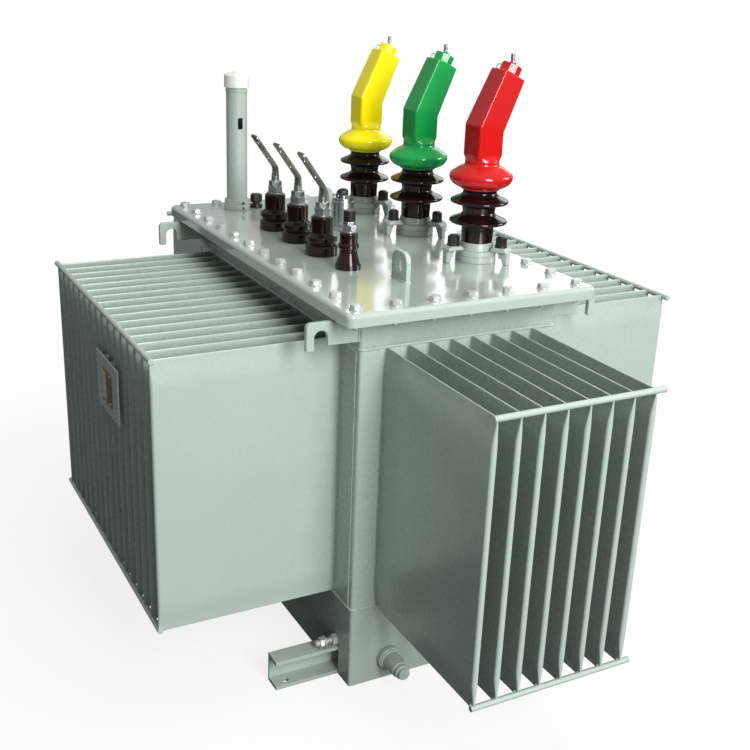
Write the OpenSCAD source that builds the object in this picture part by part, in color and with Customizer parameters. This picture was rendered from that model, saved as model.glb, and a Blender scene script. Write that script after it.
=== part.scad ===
// Oil-filled distribution transformer with corrugated fin walls.
// Frame: millimetres, +Z up, origin on the ground under the middle of the tank.
// +X is the end with the drain valve, -Y the low-voltage side, +Y the high-voltage side.

/* [Tank] */
// Length of the tank over its end walls
tank_length = 850; // [780:1:1100]
// Width of the tank over its side walls
tank_width = 420; // [400:1:600]
// Height of the plain wall below the fins
lower_wall_height = 174; // [140:1:260]
// Thickness of the wall plates
wall_t = 5; // [3:0.5:8]
// Thickness of the skirt below the tank floor
skirt_t = 8; // [5:0.5:14]
// Radius of the bent upright corners of the tank
tank_corner_r = 6; // [5:0.5:12]
// Height of the plain band between the fins and the rim flange
rim_band_height = 67; // [60:1:110]
// Thickness of the flange under the cover
rim_flange_t = 10; // [6:0.5:16]

/* [Cooling fins] */
// Height of the fins and their panels
fin_height = 534; // [300:1:800]
// How far a fin stands out from the wall
fin_depth = 356; // [200:1:420]
// Distance from fin to fin
fin_pitch = 45; // [40:0.5:46]
// Fins on each long side, where the wall has room for them
long_fin_count = 16; // [10:1:17]
// Fins on each short end, where the wall has room for them
short_fin_count = 8; // [4:1:8]
// Least distance from the last fin to the tank's corner
corner_gap = 40; // [30:1:60]
// Thickness of a fin
fin_t = 12; // [8:0.5:16]
// Thickness of the pinched and welded fin edge
fin_edge_t = 3; // [2:0.5:6]
// Length of the taper at the top and bottom of a fin
pinch_length = 50; // [25:1:90]
// Diameter of the round bars that tie the fin corners
tie_bar_d = 11; // [8:0.5:14]
// How far a tie bar runs past the fin at its far end
tie_bar_reach = 14; // [0:0.5:20]
// Plain strip of a fin panel beside its last fin
panel_margin = 6; // [2:0.5:10]

/* [Cover] */
// How far the cover stands out past each end wall
cover_end_overhang = 55; // [50:0.5:80]
// How far the cover stands out past each side wall
cover_side_overhang = 54; // [50:0.5:80]
// Thickness of the cover plate
cover_t = 8; // [6:0.5:12]
// Height of the lip from its lower edge to the cover's top
lip_height = 24; // [20:0.5:40]
// Thickness of the lip
lip_t = 6; // [4:0.5:8]
// Outer radius of the bend between cover and lip
lip_bend_r = 8; // [7:0.5:9]
// Radius of the cover's corners in plan
cover_corner_r = 14; // [12:0.5:30]

/* [Base channels] */
// Height of a base channel
channel_height = 63; // [50:1:100]
// Width of a channel flange
channel_flange_w = 40; // [36:0.5:50]
// Thickness of the channel web
channel_web_t = 5; // [4:0.5:8]
// Thickness of a channel flange
channel_flange_t = 7.5; // [5:0.5:10]
// Distance of a channel's open side from the end wall of the tank
channel_inset = 50; // [20:1:120]
// How far a channel stands out past the side wall
channel_reach = 135; // [80:1:200]
// Diameter of a foot hole
foot_hole_d = 14; // [10:0.5:18]
// Distance of a foot hole from the back of the web
foot_hole_gauge = 25; // [22:0.5:27]
// Distance of a foot hole from the end of the channel
foot_hole_inset = 26; // [20:0.5:40]

/* [Lifting] */
// Thickness of the lifting plates
lift_plate_t = 10; // [8:0.5:14]
// How far a hook stands out past the side wall
hook_reach = 102; // [85:1:120]
// Width of the arched notch in a hook
hook_notch_w = 26; // [20:0.5:32]
// Width of the outer leg of a hook
hook_leg_w = 15; // [12:0.5:24]
// Height of a hook at its root
hook_root_h = 44; // [40:0.5:50]
// How far the outer leg of a hook hangs below its root
hook_drop = 8; // [0:0.5:8]
// Length of a cover lug
lug_length = 57; // [50:1:80]
// Height of a cover lug
lug_height = 56; // [50:1:80]
// Radius of the upper corners of a cover lug
lug_corner_r = 20; // [5:0.5:24]
// Diameter of the eye in a cover lug
lug_eye_d = 25; // [16:0.5:28]
// Distance of a cover lug from the middle along the tank
lug_x = 306; // [270:1:330]
// Distance of a cover lug from the middle across the tank
lug_y = 67; // [55:1:75]

/* [Low-voltage bushings] */
// Distance from one low-voltage bushing to the next
lv_pitch = 121; // [95:1:124]
// Place of the middle of the low-voltage row along the tank
lv_row_x = 16; // [0:1:30]
// Distance of the low-voltage row from the tank's middle
lv_row_y = 124; // [118:1:160]
// Radius of the foot of a phase insulator
lv_foot_r = 33.5; // [30:0.5:40]
// Height of a phase insulator
lv_height = 78; // [66:1:100]
// Radius of the foot of the neutral insulator
neutral_foot_r = 25.5; // [22:0.5:30]
// Height of the neutral insulator
neutral_height = 71; // [62:1:90]
// Radius of the conductor rod
lv_rod_r = 8; // [6:0.5:10]
// Length of the bare rod between the nuts and the bend
lv_rod_length = 29; // [16:1:50]
// Lean of the terminal palm from upright, in degrees
palm_lean = 36; // [0:1:50]
// Length of the palm past the bend
palm_length = 86; // [74:1:110]
// Width of the palm
palm_width = 32; // [28:0.5:50]
// Thickness of the palm
palm_t = 5; // [4:0.5:10]
// Diameter of a palm hole
palm_hole_d = 13; // [9:0.5:16]
// Distance between the two palm holes
palm_hole_pitch = 40; // [30:0.5:42]

/* [High-voltage bushings] */
// Distance from one high-voltage bushing to the next
hv_pitch = 250; // [200:1:255]
// Place of the middle of the high-voltage row along the tank
hv_row_x = -28; // [-40:1:0]
// Distance of the high-voltage row from the tank's middle
hv_row_y = 154; // [148:1:158]
// Radius of the turret
turret_r = 41; // [39:0.5:46]
// Height of the turret
turret_height = 39; // [34:0.5:50]
// Height of the clamped shoulder of the turret
shoulder_height = 24; // [20:0.5:28]
// Radius of the insulator core
hv_core_r = 32; // [28:0.5:34]
// Radius of a shed
shed_r = 58; // [46:0.5:64]
// Height of the insulator
hv_height = 106; // [96:1:140]
// Radius of the boot's bell
bell_r = 63; // [54:0.5:70]
// Width of the boot's square duct
boot_w = 57; // [52:0.5:64]
// Width of the duct at its far end
boot_end_w = 52; // [46:0.5:52]
// Height of the upright part of the duct above the neck
boot_upright = 58; // [50:1:110]
// Lean of the upper duct from upright, in degrees
boot_lean = 24.5; // [0:0.5:40]
// Length of the leaning part of the duct
boot_length = 112.5; // [80:0.5:140]
// Radius of the terminal stud on a boot
hv_stud_r = 4.5; // [3:0.5:6]

/* [Fittings] */
// Outer radius of the filler pipe
pipe_r = 24; // [20:0.5:28]
// Height of the filler pipe
pipe_height = 282; // [200:1:360]
// Distance of the filler pipe from the rear edge of the cover
pipe_end_inset = 88; // [75:1:110]
// Distance of the filler pipe from the left edge of the cover
pipe_side_inset = 138; // [115:1:150]
// Place of the relief valve along the tank
relief_x = -115; // [-120:1:-105]
// Place of the relief valve across the tank
relief_y = 18; // [5:1:25]
// Radius of the relief valve's body
relief_r = 26; // [18:0.5:28]
// Height of the relief valve
relief_height = 76; // [60:1:90]
// Radius of the drain valve's flange
drain_flange_r = 25; // [20:0.5:30]
// Height of the drain valve's axis above the ground
drain_z = 48; // [44:0.5:60]
// Distance of the drain valve from the left wall
drain_inset = 86; // [60:1:130]
// How far the drain valve stands out of the front wall
drain_reach = 70; // [55:1:90]
// Radius of the earthing stud
earth_stud_r = 7.5; // [5:0.5:9]
// Distance of the nameplate bracket in front of the fin tips
bracket_standoff = 10; // [8:0.5:30]
// Height of the nameplate bracket
bracket_height = 110; // [90:1:140]
// Distance of the bracket's top below the top of the fins
bracket_drop = 80; // [40:1:200]
// Thickness of the bracket's sheet
bracket_t = 3; // [2:0.5:4]
// Width of the nameplate
plate_w = 64; // [50:1:100]
// Height of the nameplate
plate_h = 70; // [50:1:88]

/* [Hidden] */

// Facets of round faces, turn of a rounded edge, and the reach of cutting solids past a face
$fn = 48;
arc_steps = 6;
edge_sweep = 60;
cut = 1;
// Gap left where a round or tight seat meets its neighbour
seat_gap = 0.3;

paint = "#b9c6bf";
porcelain = "#2a1210";
zinc = "#c9ccce";
black = "#1b1c1e";

half_l = tank_length / 2;
half_w = tank_width / 2;
fin_top = lower_wall_height + fin_height;
flange_z = fin_top + rim_band_height;
cover_z = flange_z + rim_flange_t;
cover_top = cover_z + cover_t;
cover_half_l = half_l + cover_end_overhang;
cover_half_w = half_w + cover_side_overhang;
channel_x = half_l - channel_inset - channel_flange_w;
long_fins = fins_on(tank_length, long_fin_count);
short_fins = fins_on(tank_width, short_fin_count);

// Slack between the rim flange and the cover's lip, and from the lip down to a hook
lip_slack = 4;
hook_drop_below_lip = 3;
hook_corner_r = 10;

// Height of the eye in a cover lug, a little below half way
lug_eye_fall = 1;
lug_eye_z = lug_height / 2 - lug_eye_fall;

// Place of the bars that tie the fin corners
bar_r = tie_bar_d / 2;
bar_line = fin_depth - bar_r / 2;

// Porcelain of a phase bushing: its waist and shed
lv_edge_r = 3;
lv_foot_edge = 20;
lv_waist_r = lv_foot_r - 6;
lv_waist_z = 24;
lv_waist_h = 1.5;
lv_shed_r = lv_foot_r - 1;
lv_shed_z = 30;
lv_shed_t = 9;
lv_cup_r = lv_foot_r - 11;
lv_cup_z = 44;

// Porcelain of the neutral bushing
neutral_foot_edge = 10;
neutral_cup_r = neutral_foot_r - 8;
neutral_waist_z = 30;
neutral_ring_r = neutral_foot_r - 5;
neutral_ring_z = 42;
neutral_ring_t = 7;
neutral_cup_rise = 1;

// Nuts and washer on a low-voltage stem
washer_r = 18;
washer_t = 4;
lower_nut_r = 17;
lower_nut_t = 14;
upper_nut_r = 14;
upper_nut_t = 11;
nut_stack = washer_t + lower_nut_t + upper_nut_t;
palm_corner_r = 8;
palm_end = 20;
neutral_washer_r = 14.5;
neutral_nut_r = 12.5;
neutral_nut_t = 7;
neutral_stud_length = 40;

// Turret and clamps of a high-voltage bushing
turret_groove = 1.5;
turret_groove_w = 2.5;
turret_top_r = hv_core_r + 1;
turret_step = 5.5;
clamp_angles = [-90, 30, 150];
clamp_width = 30;
clamp_arm_t = 10;
clamp_reach = 33;
clamp_outer_r = turret_r + clamp_reach;
clamp_toe = 4.5;
clamp_bevel = 6;
clamp_leg_w = 16;
clamp_leg_top = 18;
clamp_leg_foot = 9;

// Sheds of a high-voltage insulator
core_taper = 1.5;
shed_tip_r = 3.5;
shed_under_sweep = 80;
shed_fall = 14;
shed_root = 19;
shed_lower_root = 9;
shed_clear = 26;
shed_pitch = (hv_height - shed_clear) / 2;

// Boot: heights above the cover, its bell, duct and cap
bell_z = turret_height + hv_height;
bell_foot_r = hv_core_r + 6;
bell_equator = 25;
bell_half_h = 22;
bell_brim_r = 9;
bell_brim_sweep = 50;
neck_r = hv_core_r + 2;
neck_h = 14;
duct_z = bell_z + bell_equator + bell_half_h + neck_h;
bend_z = duct_z + boot_upright;
duct_edge_r = 5;
duct_sink = 4;
boot_cap_r = 21;
boot_cap_h = 18;
bend_flat = boot_w / 2 * tan(boot_lean / 2) + duct_edge_r;
stud_collar_r = 7;
stud_collar_rise = 5;
stud_collar_sink = 8;
hv_stud_length = 16;

// Filler pipe: its foot collars, bead, gauge recess and cap
collar_r = pipe_r + 7;
collar_h = 10;
upper_collar_r = pipe_r + 5.5;
upper_collar_h = 14;
bead_r = pipe_r + 1.5;
bead_drop = 9;
bead_h = 4;
gauge_w = 12;
gauge_h = 26;
gauge_deep = 3;
gauge_drop = 80;
cap_r = pipe_r + 4;
cap_h = 29;
cap_edge_r = 3;
cap_crown_r = pipe_r / 3;
cap_crown_h = 5;

// Relief valve: hexagon foot, neck, cap and stem
relief_foot_r = relief_r + 4;
relief_foot_h = 12;
relief_neck_h = 2;
relief_cap_r = relief_r - 2;
relief_cap_drop = 12;
relief_stem_r = 8;
relief_stem_h = 4;

// Tap changer: its seat, neck and knob, and its place beside the filler pipe
tap_gap = 25;
tap_seat_r = 15;
tap_seat_h = 8;
tap_neck_r = 9;
tap_neck_h = 5;
tap_knob_r = 14;
tap_knob_h = 20;

// Drain valve: its steps from the flange to the end cap
drain_flange_t = 12;
drain_ring_r = drain_flange_r - 3;
drain_ring_t = 4;
drain_body_r = drain_flange_r - 6;
drain_body_end_r = drain_flange_r - 8;
drain_neck_r = drain_flange_r - 10;
drain_neck_t = 10;
drain_cap_r = drain_flange_r - 13;
drain_cap_t = 8;

// Earthing stud: its place from the front wall and above the channel, and its lengths
earth_inset = 60;
earth_rise = 13;
earth_boss_r = earth_stud_r + 5;
earth_boss_t = 12;
earth_stud_length = 46;
earth_nut_r = earth_stud_r + 4;
earth_nut_place = 29;
earth_nut_t = 10;

// Fins in front of the nameplate bracket, and the pitches that it spans
bracket_skip_count = 4;
bracket_span_count = 3;
bracket_w = bracket_span_count * fin_pitch + fin_t;
bracket_x = fin_row(long_fins)[long_fins - 1 - bracket_skip_count] + fin_t / 2 - bracket_w;
bracket_y = -half_w - fin_depth - seat_gap;
bracket_z = fin_top - bracket_drop - bracket_height;
plate_t = 1.5;
plate_corner_r = 4;

function lv_x(i) = lv_row_x + (i - 1.5) * lv_pitch;
function hv_x(i) = hv_row_x + (i - 1) * hv_pitch;
function fin_row(count) = [for (i = [0 : count - 1]) (i - (count - 1) / 2) * fin_pitch];

// Fins that a wall has room for, up to the number wanted
function fins_on(wall, wanted) = min(wanted, floor((wall - 2 * corner_gap - fin_t) / fin_pitch) + 1);

// Half the length of a panel with a row of fins
function panel_half(count) = (count - 1) / 2 * fin_pitch + fin_t / 2 + panel_margin;

// Points on an oval or an arc in a profile, from one angle to another
function oval(x, z, rx, rz, from, to) =
    [for (k = [0 : arc_steps]) let (a = from + (to - from) * k / arc_steps)
        [x + rx * cos(a), z + rz * sin(a)]];
function arc(x, z, r, from, to) = oval(x, z, r, r, from, to);

// A closed box given by its two corners
module box(low, high) {
    translate(low)
        cube(high - low);
}

// A rectangle with rounded corners, centred
module rounded_rectangle(length, width, r) {
    square([length - 2 * r, width], center = true);
    square([length, width - 2 * r], center = true);
    for (sx = [-1, 1], sy = [-1, 1])
        translate([sx * (length / 2 - r), sy * (width / 2 - r)])
            circle(r);
}

// A disc edge or collar in the half plane of a revolve, with its outer corner rounded by r
module round_step(outer_r, z0, z1, r) {
    translate([0, z0])
        square([outer_r - r, z1 - z0]);
    translate([0, z0])
        square([outer_r, z1 - z0 - r]);
    translate([outer_r - r, z1 - r])
        circle(r);
}

// A hexagon nut, flat on its lower face
module nut(r, t) {
    cylinder(r = r, h = t, $fn = 6);
}

// Tank body: plain lower walls, and a skirt below the floor that the channels run through
module lower_tank() {
    notch_w = channel_flange_w + 2 * seat_gap;
    color(paint)
    difference() {
        linear_extrude(lower_wall_height)
            rounded_rectangle(tank_length, tank_width, tank_corner_r);
        box([skirt_t - half_l, skirt_t - half_w, -cut],
            [half_l - skirt_t, half_w - skirt_t, channel_height]);
        for (s = [-1, 1])
            translate([s * (channel_x + channel_flange_w / 2) - notch_w / 2, -half_w - cut, -cut])
                cube([notch_w, tank_width + 2 * cut, channel_height + cut]);
    }
}

// Bent plate that joins two fin panels, seen from above with the tank's corner at the origin
module post_outline(long_leg, short_leg) {
    r = tank_corner_r;
    difference() {
        union() {
            translate([-long_leg, 0])
                square([long_leg - r, short_leg]);
            translate([-r, r])
                square([r, short_leg - r]);
            translate([-r, r])
                circle(r);
        }
        translate([-long_leg - cut, wall_t])
            square([long_leg - wall_t + cut, short_leg - wall_t + cut]);
    }
}

// The four upright corners of the tank between the fin panels
module corner_posts() {
    color(paint)
    for (mx = [0, 1], my = [0, 1])
        mirror([mx, 0, 0])
            mirror([0, my, 0])
                translate([half_l, -half_w, lower_wall_height])
                    linear_extrude(fin_height)
                        post_outline(half_l - panel_half(long_fins), half_w - panel_half(short_fins));
}

// One rolled channel across the base, open to the outside, with a foot hole at each end
module base_channel(side) {
    half_reach = half_w + channel_reach;
    hole_y = half_reach - foot_hole_inset;
    color(paint)
    mirror([side < 0 ? 1 : 0, 0, 0])
    translate([channel_x, 0, 0])
    difference() {
        box([0, -half_reach, 0], [channel_flange_w, half_reach, channel_height]);
        box([channel_web_t, -half_reach - cut, channel_flange_t],
            [channel_flange_w + cut, half_reach + cut, channel_height - channel_flange_t]);
        for (s = [-1, 1])
            translate([foot_hole_gauge, s * hole_y, -cut])
                cylinder(d = foot_hole_d, h = channel_flange_t + 2 * cut);
    }
}

// One hollow-pressed fin standing out along -Y, pinched thin at its top and bottom edge
module fin() {
    t = fin_t / 2;
    e = fin_edge_t / 2;
    intersection() {
        rotate([90, 0, 0])
            linear_extrude(fin_depth + cut)
                polygon([[-e, 0], [e, 0], [t, pinch_length], [t, fin_height - pinch_length],
                    [e, fin_height], [-e, fin_height], [-t, fin_height - pinch_length], [-t, pinch_length]]);
        linear_extrude(fin_height) {
            translate([-t, -fin_depth + t])
                square([fin_t, fin_depth - t]);
            translate([0, -fin_depth + t])
                circle(t);
        }
    }
}

// A wall panel with its row of fins, standing out along -Y from the outer face at y = 0
module fin_wall(count) {
    half = panel_half(count);
    color(paint)
    translate([0, 0, lower_wall_height])
    difference() {
        union() {
            box([-half, 0, 0], [half, wall_t, fin_height]);
            for (x = fin_row(count))
                translate([x, 0, 0])
                    fin();
        }
        bar_pair(2 * half, bar_r + seat_gap);
    }
}

// The upper and lower bar at the outer corners of a fin row
module bar_pair(length, r) {
    for (z = [bar_r / 2, fin_height - bar_r / 2])
        translate([-length / 2, -bar_line, z])
            rotate([0, 90, 0])
                cylinder(r = r, h = length);
}

// Bars of a fin row, flush with one end fin and run past the other; far gives that end's sign
module fin_bars(count, far) {
    color(paint)
    translate([far * tie_bar_reach / 2, 0, lower_wall_height])
        bar_pair((count - 1) * fin_pitch + fin_t + tie_bar_reach, bar_r);
}

// Puts what is drawn for a long side on the left or right of the tank
module on_long_side(side) {
    rotate([0, 0, side < 0 ? 0 : 180])
        translate([0, -half_w, 0])
            children();
}

// Puts what is drawn for a short end on the front or rear of the tank
module on_short_end(end) {
    rotate([0, 0, end > 0 ? 90 : -90])
        translate([0, -half_l, 0])
            children();
}

// Plain band above the fins and the flange that the cover is bolted to
module tank_rim() {
    flange_half_l = cover_half_l - lip_t - lip_slack;
    flange_half_w = cover_half_w - lip_t - lip_slack;
    color(paint)
    difference() {
        union() {
            translate([0, 0, fin_top])
                linear_extrude(rim_band_height)
                    rounded_rectangle(tank_length, tank_width, tank_corner_r);
            box([-flange_half_l, -flange_half_w, flange_z], [flange_half_l, flange_half_w, cover_z]);
        }
        box([wall_t - half_l, wall_t - half_w, fin_top - cut],
            [half_l - wall_t, half_w - wall_t, cover_z + cut]);
    }
}

// Section of the cover's edge, from the corner's centre outwards: plate, bend and lip
module cover_edge_section() {
    lip_x = cover_corner_r - lip_t;
    bend_x = cover_corner_r - lip_bend_r;
    translate([0, cover_top - cover_t])
        square([bend_x, cover_t]);
    translate([lip_x, cover_top - lip_height])
        square([lip_t, lip_height - lip_bend_r]);
    difference() {
        translate([bend_x, cover_top - lip_bend_r])
            square(lip_bend_r);
        translate([bend_x, cover_top - lip_bend_r])
            difference() {
                square(lip_bend_r + cut);
                circle(lip_bend_r);
            }
    }
}

// Cover plate pressed with a bent-down lip that runs round rounded corners
module cover() {
    side_l = 2 * (cover_half_l - cover_corner_r);
    side_w = 2 * (cover_half_w - cover_corner_r);
    color(paint) {
        translate([0, 0, cover_z + cover_t / 2])
            cube([side_l, side_w, cover_t], center = true);
        for (s = [0, 180]) {
            rotate([0, 0, s])
                translate([-side_l / 2, -side_w / 2, 0])
                    rotate([90, 0, 90])
                        linear_extrude(side_l)
                            mirror([1, 0])
                                cover_edge_section();
            rotate([0, 0, s])
                translate([side_l / 2, side_w / 2, 0])
                    rotate([90, 0, 0])
                        linear_extrude(side_w)
                            cover_edge_section();
            for (m = [0, 1])
                rotate([0, 0, s])
                    mirror([0, m, 0])
                        translate([side_l / 2, side_w / 2, 0])
                            rotate_extrude(angle = 90)
                                cover_edge_section();
        }
    }
}

// A plate lug along the cover, with rounded upper corners and a lifting eye
module cover_lug() {
    corner_x = lug_length / 2 - lug_corner_r;
    corner_z = lug_height - lug_corner_r;
    rotate([90, 0, 0])
    linear_extrude(lift_plate_t, center = true)
    difference() {
        union() {
            translate([-lug_length / 2, 0])
                square([lug_length, corner_z]);
            translate([-corner_x, 0])
                square([2 * corner_x, lug_height]);
            for (s = [-1, 1])
                translate([s * corner_x, corner_z])
                    circle(lug_corner_r);
        }
        translate([0, lug_eye_z])
            circle(d = lug_eye_d);
    }
}

module cover_lugs() {
    color(paint)
    for (s = [-1, 1])
        translate([s * lug_x, -s * lug_y, cover_top])
            cover_lug();
}

// Outline of a lifting hook from the wall outwards: an arched notch, open below
module hook_outline() {
    notch_r = hook_notch_w / 2;
    notch_x = hook_reach - hook_leg_w - notch_r;
    crown = hook_root_h - hook_leg_w;
    difference() {
        union() {
            square([hook_reach - hook_corner_r, hook_root_h]);
            translate([0, -hook_drop])
                square([hook_reach, hook_root_h + hook_drop - hook_corner_r]);
            translate([hook_reach - hook_corner_r, hook_root_h - hook_corner_r])
                circle(hook_corner_r);
        }
        translate([notch_x, crown - notch_r])
            circle(notch_r);
        translate([notch_x - notch_r, -hook_drop - cut])
            square([hook_notch_w, hook_drop + cut + crown - notch_r]);
        translate([-cut, -hook_drop - cut])
            square([notch_x + cut, hook_drop + cut]);
    }
}

// The four hooks on the side walls, just inside the bent corners of the tank
module lifting_hooks() {
    hook_top = min(flange_z, cover_top - lip_height) - hook_drop_below_lip;
    color(paint)
    for (end = [-1, 1], side = [-1, 1])
        translate([end * (half_l - tank_corner_r - lift_plate_t / 2), side * half_w, hook_top - hook_root_h])
            rotate([90, 0, side * 90])
                linear_extrude(lift_plate_t, center = true)
                    hook_outline();
}

// Porcelain of a phase bushing: flared foot, waist, one shed and an upper cup
module lv_insulator(i) {
    e = lv_edge_r;
    shed_x = lv_shed_r - e;
    color(porcelain)
    translate([lv_x(i), -lv_row_y, cover_top])
    rotate_extrude()
        polygon(concat(
            [[0, 0], [lv_foot_r, 0]], arc(lv_foot_r - e, lv_foot_edge - e, e, 0, edge_sweep),
            [[lv_waist_r, lv_waist_z], [lv_waist_r, lv_waist_z + lv_waist_h]],
            arc(shed_x, lv_shed_z, e, -edge_sweep, 0),
            arc(shed_x, lv_shed_z + lv_shed_t - e, e, 0, edge_sweep),
            [[lv_cup_r, lv_cup_z]], arc(lv_cup_r - e, lv_height - e, e, 0, 90), [[0, lv_height]]));
}

// Porcelain of the neutral bushing: a broad foot, a waist and a ring under the cup
module neutral_insulator() {
    e = lv_edge_r;
    ring_x = neutral_ring_r - e;
    ring_top = neutral_ring_z + neutral_ring_t;
    color(porcelain)
    translate([lv_x(3), -lv_row_y, cover_top])
    rotate_extrude()
        polygon(concat(
            [[0, 0], [neutral_foot_r, 0]], arc(neutral_foot_r - e, neutral_foot_edge - e, e, 0, edge_sweep),
            [[neutral_cup_r, neutral_waist_z], [neutral_cup_r, neutral_ring_z - e]],
            arc(ring_x, neutral_ring_z, e, -edge_sweep, 0), arc(ring_x, ring_top - e, e, 0, edge_sweep),
            [[neutral_cup_r, ring_top + neutral_cup_rise]],
            arc(neutral_cup_r - e, neutral_height - e, e, 0, 90), [[0, neutral_height]]));
}

// Outline of the terminal palm, from the bend upwards
module palm_outline() {
    first_hole = palm_length - palm_end - palm_hole_pitch;
    difference() {
        translate([0, palm_length / 2 - palm_corner_r])
            rounded_rectangle(palm_width, palm_length + 2 * palm_corner_r, palm_corner_r);
        for (k = [0, 1])
            translate([0, first_hole + k * palm_hole_pitch])
                circle(d = palm_hole_d);
    }
}

// Conductor rod with its washer and nuts, flattened into a palm that leans away from the tank
module lv_terminal(i) {
    color(zinc)
    translate([lv_x(i), -lv_row_y, cover_top + lv_height]) {
        cylinder(r = washer_r, h = washer_t);
        translate([0, 0, washer_t])
            nut(lower_nut_r, lower_nut_t);
        translate([0, 0, washer_t + lower_nut_t])
            nut(upper_nut_r, upper_nut_t);
        cylinder(r = lv_rod_r, h = nut_stack + lv_rod_length);
        translate([0, 0, nut_stack + lv_rod_length])
            rotate([90 + palm_lean, 0, 0])
                linear_extrude(palm_t, center = true)
                    palm_outline();
    }
}

// Plain stud of the neutral bushing with its nuts
module neutral_terminal() {
    color(zinc)
    translate([lv_x(3), -lv_row_y, cover_top + neutral_height]) {
        cylinder(r = neutral_washer_r, h = washer_t);
        translate([0, 0, washer_t])
            nut(upper_nut_r, upper_nut_t);
        translate([0, 0, washer_t + upper_nut_t])
            nut(neutral_nut_r, neutral_nut_t);
        cylinder(r = lv_rod_r, h = neutral_stud_length);
    }
}

// Turned metal base of a high-voltage bushing with a shoulder for the clamps
module hv_turret(i) {
    groove_z = shoulder_height / 2;
    groove_x = turret_r - turret_groove;
    color(paint)
    translate([hv_x(i), hv_row_y, cover_top])
    rotate_extrude()
        polygon([[0, 0], [turret_r, 0], [turret_r, groove_z - turret_groove_w / 2],
            [groove_x, groove_z - turret_groove_w / 2], [groove_x, groove_z + turret_groove_w / 2],
            [turret_r, groove_z + turret_groove_w / 2], [turret_r, shoulder_height],
            [turret_r - turret_step, shoulder_height], [turret_top_r, turret_height], [0, turret_height]]);
}

// Side view of a clamp's arm, with its toe on the turret's shoulder
module clamp_arm_outline() {
    toe_x = turret_r - clamp_toe;
    arm_top = shoulder_height + clamp_arm_t;
    polygon([[toe_x, shoulder_height], [clamp_outer_r, shoulder_height],
        [clamp_outer_r, arm_top - clamp_bevel], [clamp_outer_r - clamp_bevel, arm_top],
        [toe_x + clamp_bevel, arm_top], [toe_x, shoulder_height + clamp_arm_t / 4]]);
}

// Side view of a clamp's leg, which tapers down to the cover
module clamp_leg_outline() {
    polygon([[clamp_outer_r - clamp_leg_foot, 0], [clamp_outer_r, 0], [clamp_outer_r, shoulder_height + cut],
        [clamp_outer_r - clamp_leg_top, shoulder_height + cut]]);
}

module hv_clamps(i) {
    color(paint)
    translate([hv_x(i), hv_row_y, cover_top])
    for (a = clamp_angles)
        rotate([90, 0, a]) {
            linear_extrude(clamp_width, center = true)
                clamp_arm_outline();
            linear_extrude(clamp_leg_w, center = true)
                clamp_leg_outline();
        }
}

// Outline of one shed on a core of radius r, from below it round its tip to above it
function shed_outline(z, r) = concat(
    [[r, z - shed_lower_root], [r + shed_tip_r, z - shed_lower_root / 2]],
    arc(shed_r - shed_tip_r, z + shed_tip_r / 2, shed_tip_r, -shed_under_sweep, edge_sweep),
    [[r + shed_tip_r, z + shed_fall], [r, z + shed_root]]);

// Porcelain of a high-voltage bushing with two broad sheds
module hv_insulator(i) {
    low_r = hv_core_r - core_taper / 2;
    top_r = hv_core_r + core_taper;
    color(porcelain)
    translate([hv_x(i), hv_row_y, cover_top + turret_height])
    rotate_extrude()
        polygon(concat(
            [[0, 0], [low_r, 0]], shed_outline(shed_pitch, hv_core_r), shed_outline(2 * shed_pitch, top_r),
            [[top_r, hv_height], [0, hv_height]]));
}

// Half space below a plane through the bend that halves the angle of the lean
module below_mitre() {
    reach = 2 * (boot_length + boot_upright);
    rotate([-boot_lean / 2, 0, 0])
        translate([0, 0, -reach / 2])
            cube(reach, center = true);
}

module duct(length, end_scale = 1) {
    linear_extrude(length, scale = end_scale)
        rounded_rectangle(boot_w, boot_w, duct_edge_r);
}

// Turns what is drawn upright into the leaning part of a boot
module on_lean() {
    translate([0, 0, bend_z])
        rotate([-boot_lean, 0, 0])
            children();
}

// Puts what is drawn upright on the middle of a boot's cap
module on_boot_cap() {
    reach = boot_length + boot_cap_h;
    translate([0, reach * sin(boot_lean), bend_z + reach * cos(boot_lean)])
        children();
}

// Moulded boot: a bell with a round brim, a square duct that bends outwards, and a cap for the stud
module hv_boot(i, tint) {
    overlap = boot_w;
    color(tint)
    translate([hv_x(i), hv_row_y, cover_top]) {
        translate([0, 0, bell_z])
            rotate_extrude()
                polygon(concat(
                    [[0, 0], [bell_foot_r, 0]],
                    oval(neck_r, bell_equator, bell_r - neck_r, bell_half_h,
                        -shed_under_sweep, -bell_brim_sweep / arc_steps),
                    arc(bell_r - bell_brim_r, bell_equator, bell_brim_r, 0, bell_brim_sweep),
                    [[neck_r, bell_equator + bell_half_h], [neck_r, duct_z - bell_z], [0, duct_z - bell_z]]));
        intersection() {
            translate([0, 0, duct_z - duct_sink])
                duct(duct_sink + boot_upright + overlap);
            translate([0, 0, duct_z - duct_sink])
                cylinder(r1 = neck_r - duct_sink, r2 = neck_r + boot_upright, h = duct_sink + boot_upright);
            translate([0, 0, bend_z])
                below_mitre();
        }
        difference() {
            on_lean()
                translate([0, 0, -overlap])
                    duct(overlap + bend_flat);
            translate([0, 0, bend_z])
                below_mitre();
        }
        on_lean() {
            translate([0, 0, bend_flat])
                duct(boot_length - bend_flat, boot_end_w / boot_w);
            translate([0, 0, boot_length])
                cylinder(r = boot_cap_r, h = boot_cap_h, $fn = 8);
        }
        on_boot_cap()
            translate([0, 0, -stud_collar_sink])
                cylinder(r = stud_collar_r, h = stud_collar_sink + stud_collar_rise);
    }
}

// Upright terminal studs on the caps of the boots
module hv_studs() {
    color(zinc)
    for (i = [0 : 2])
        translate([hv_x(i), hv_row_y, cover_top])
            on_boot_cap()
                translate([0, 0, stud_collar_rise])
                    cylinder(r = hv_stud_r, h = hv_stud_length);
}

// Puts what is drawn for the filler pipe at its place on the cover
module at_pipe() {
    translate([pipe_end_inset - cover_half_l, pipe_side_inset - cover_half_w, cover_top])
        children();
}

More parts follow.
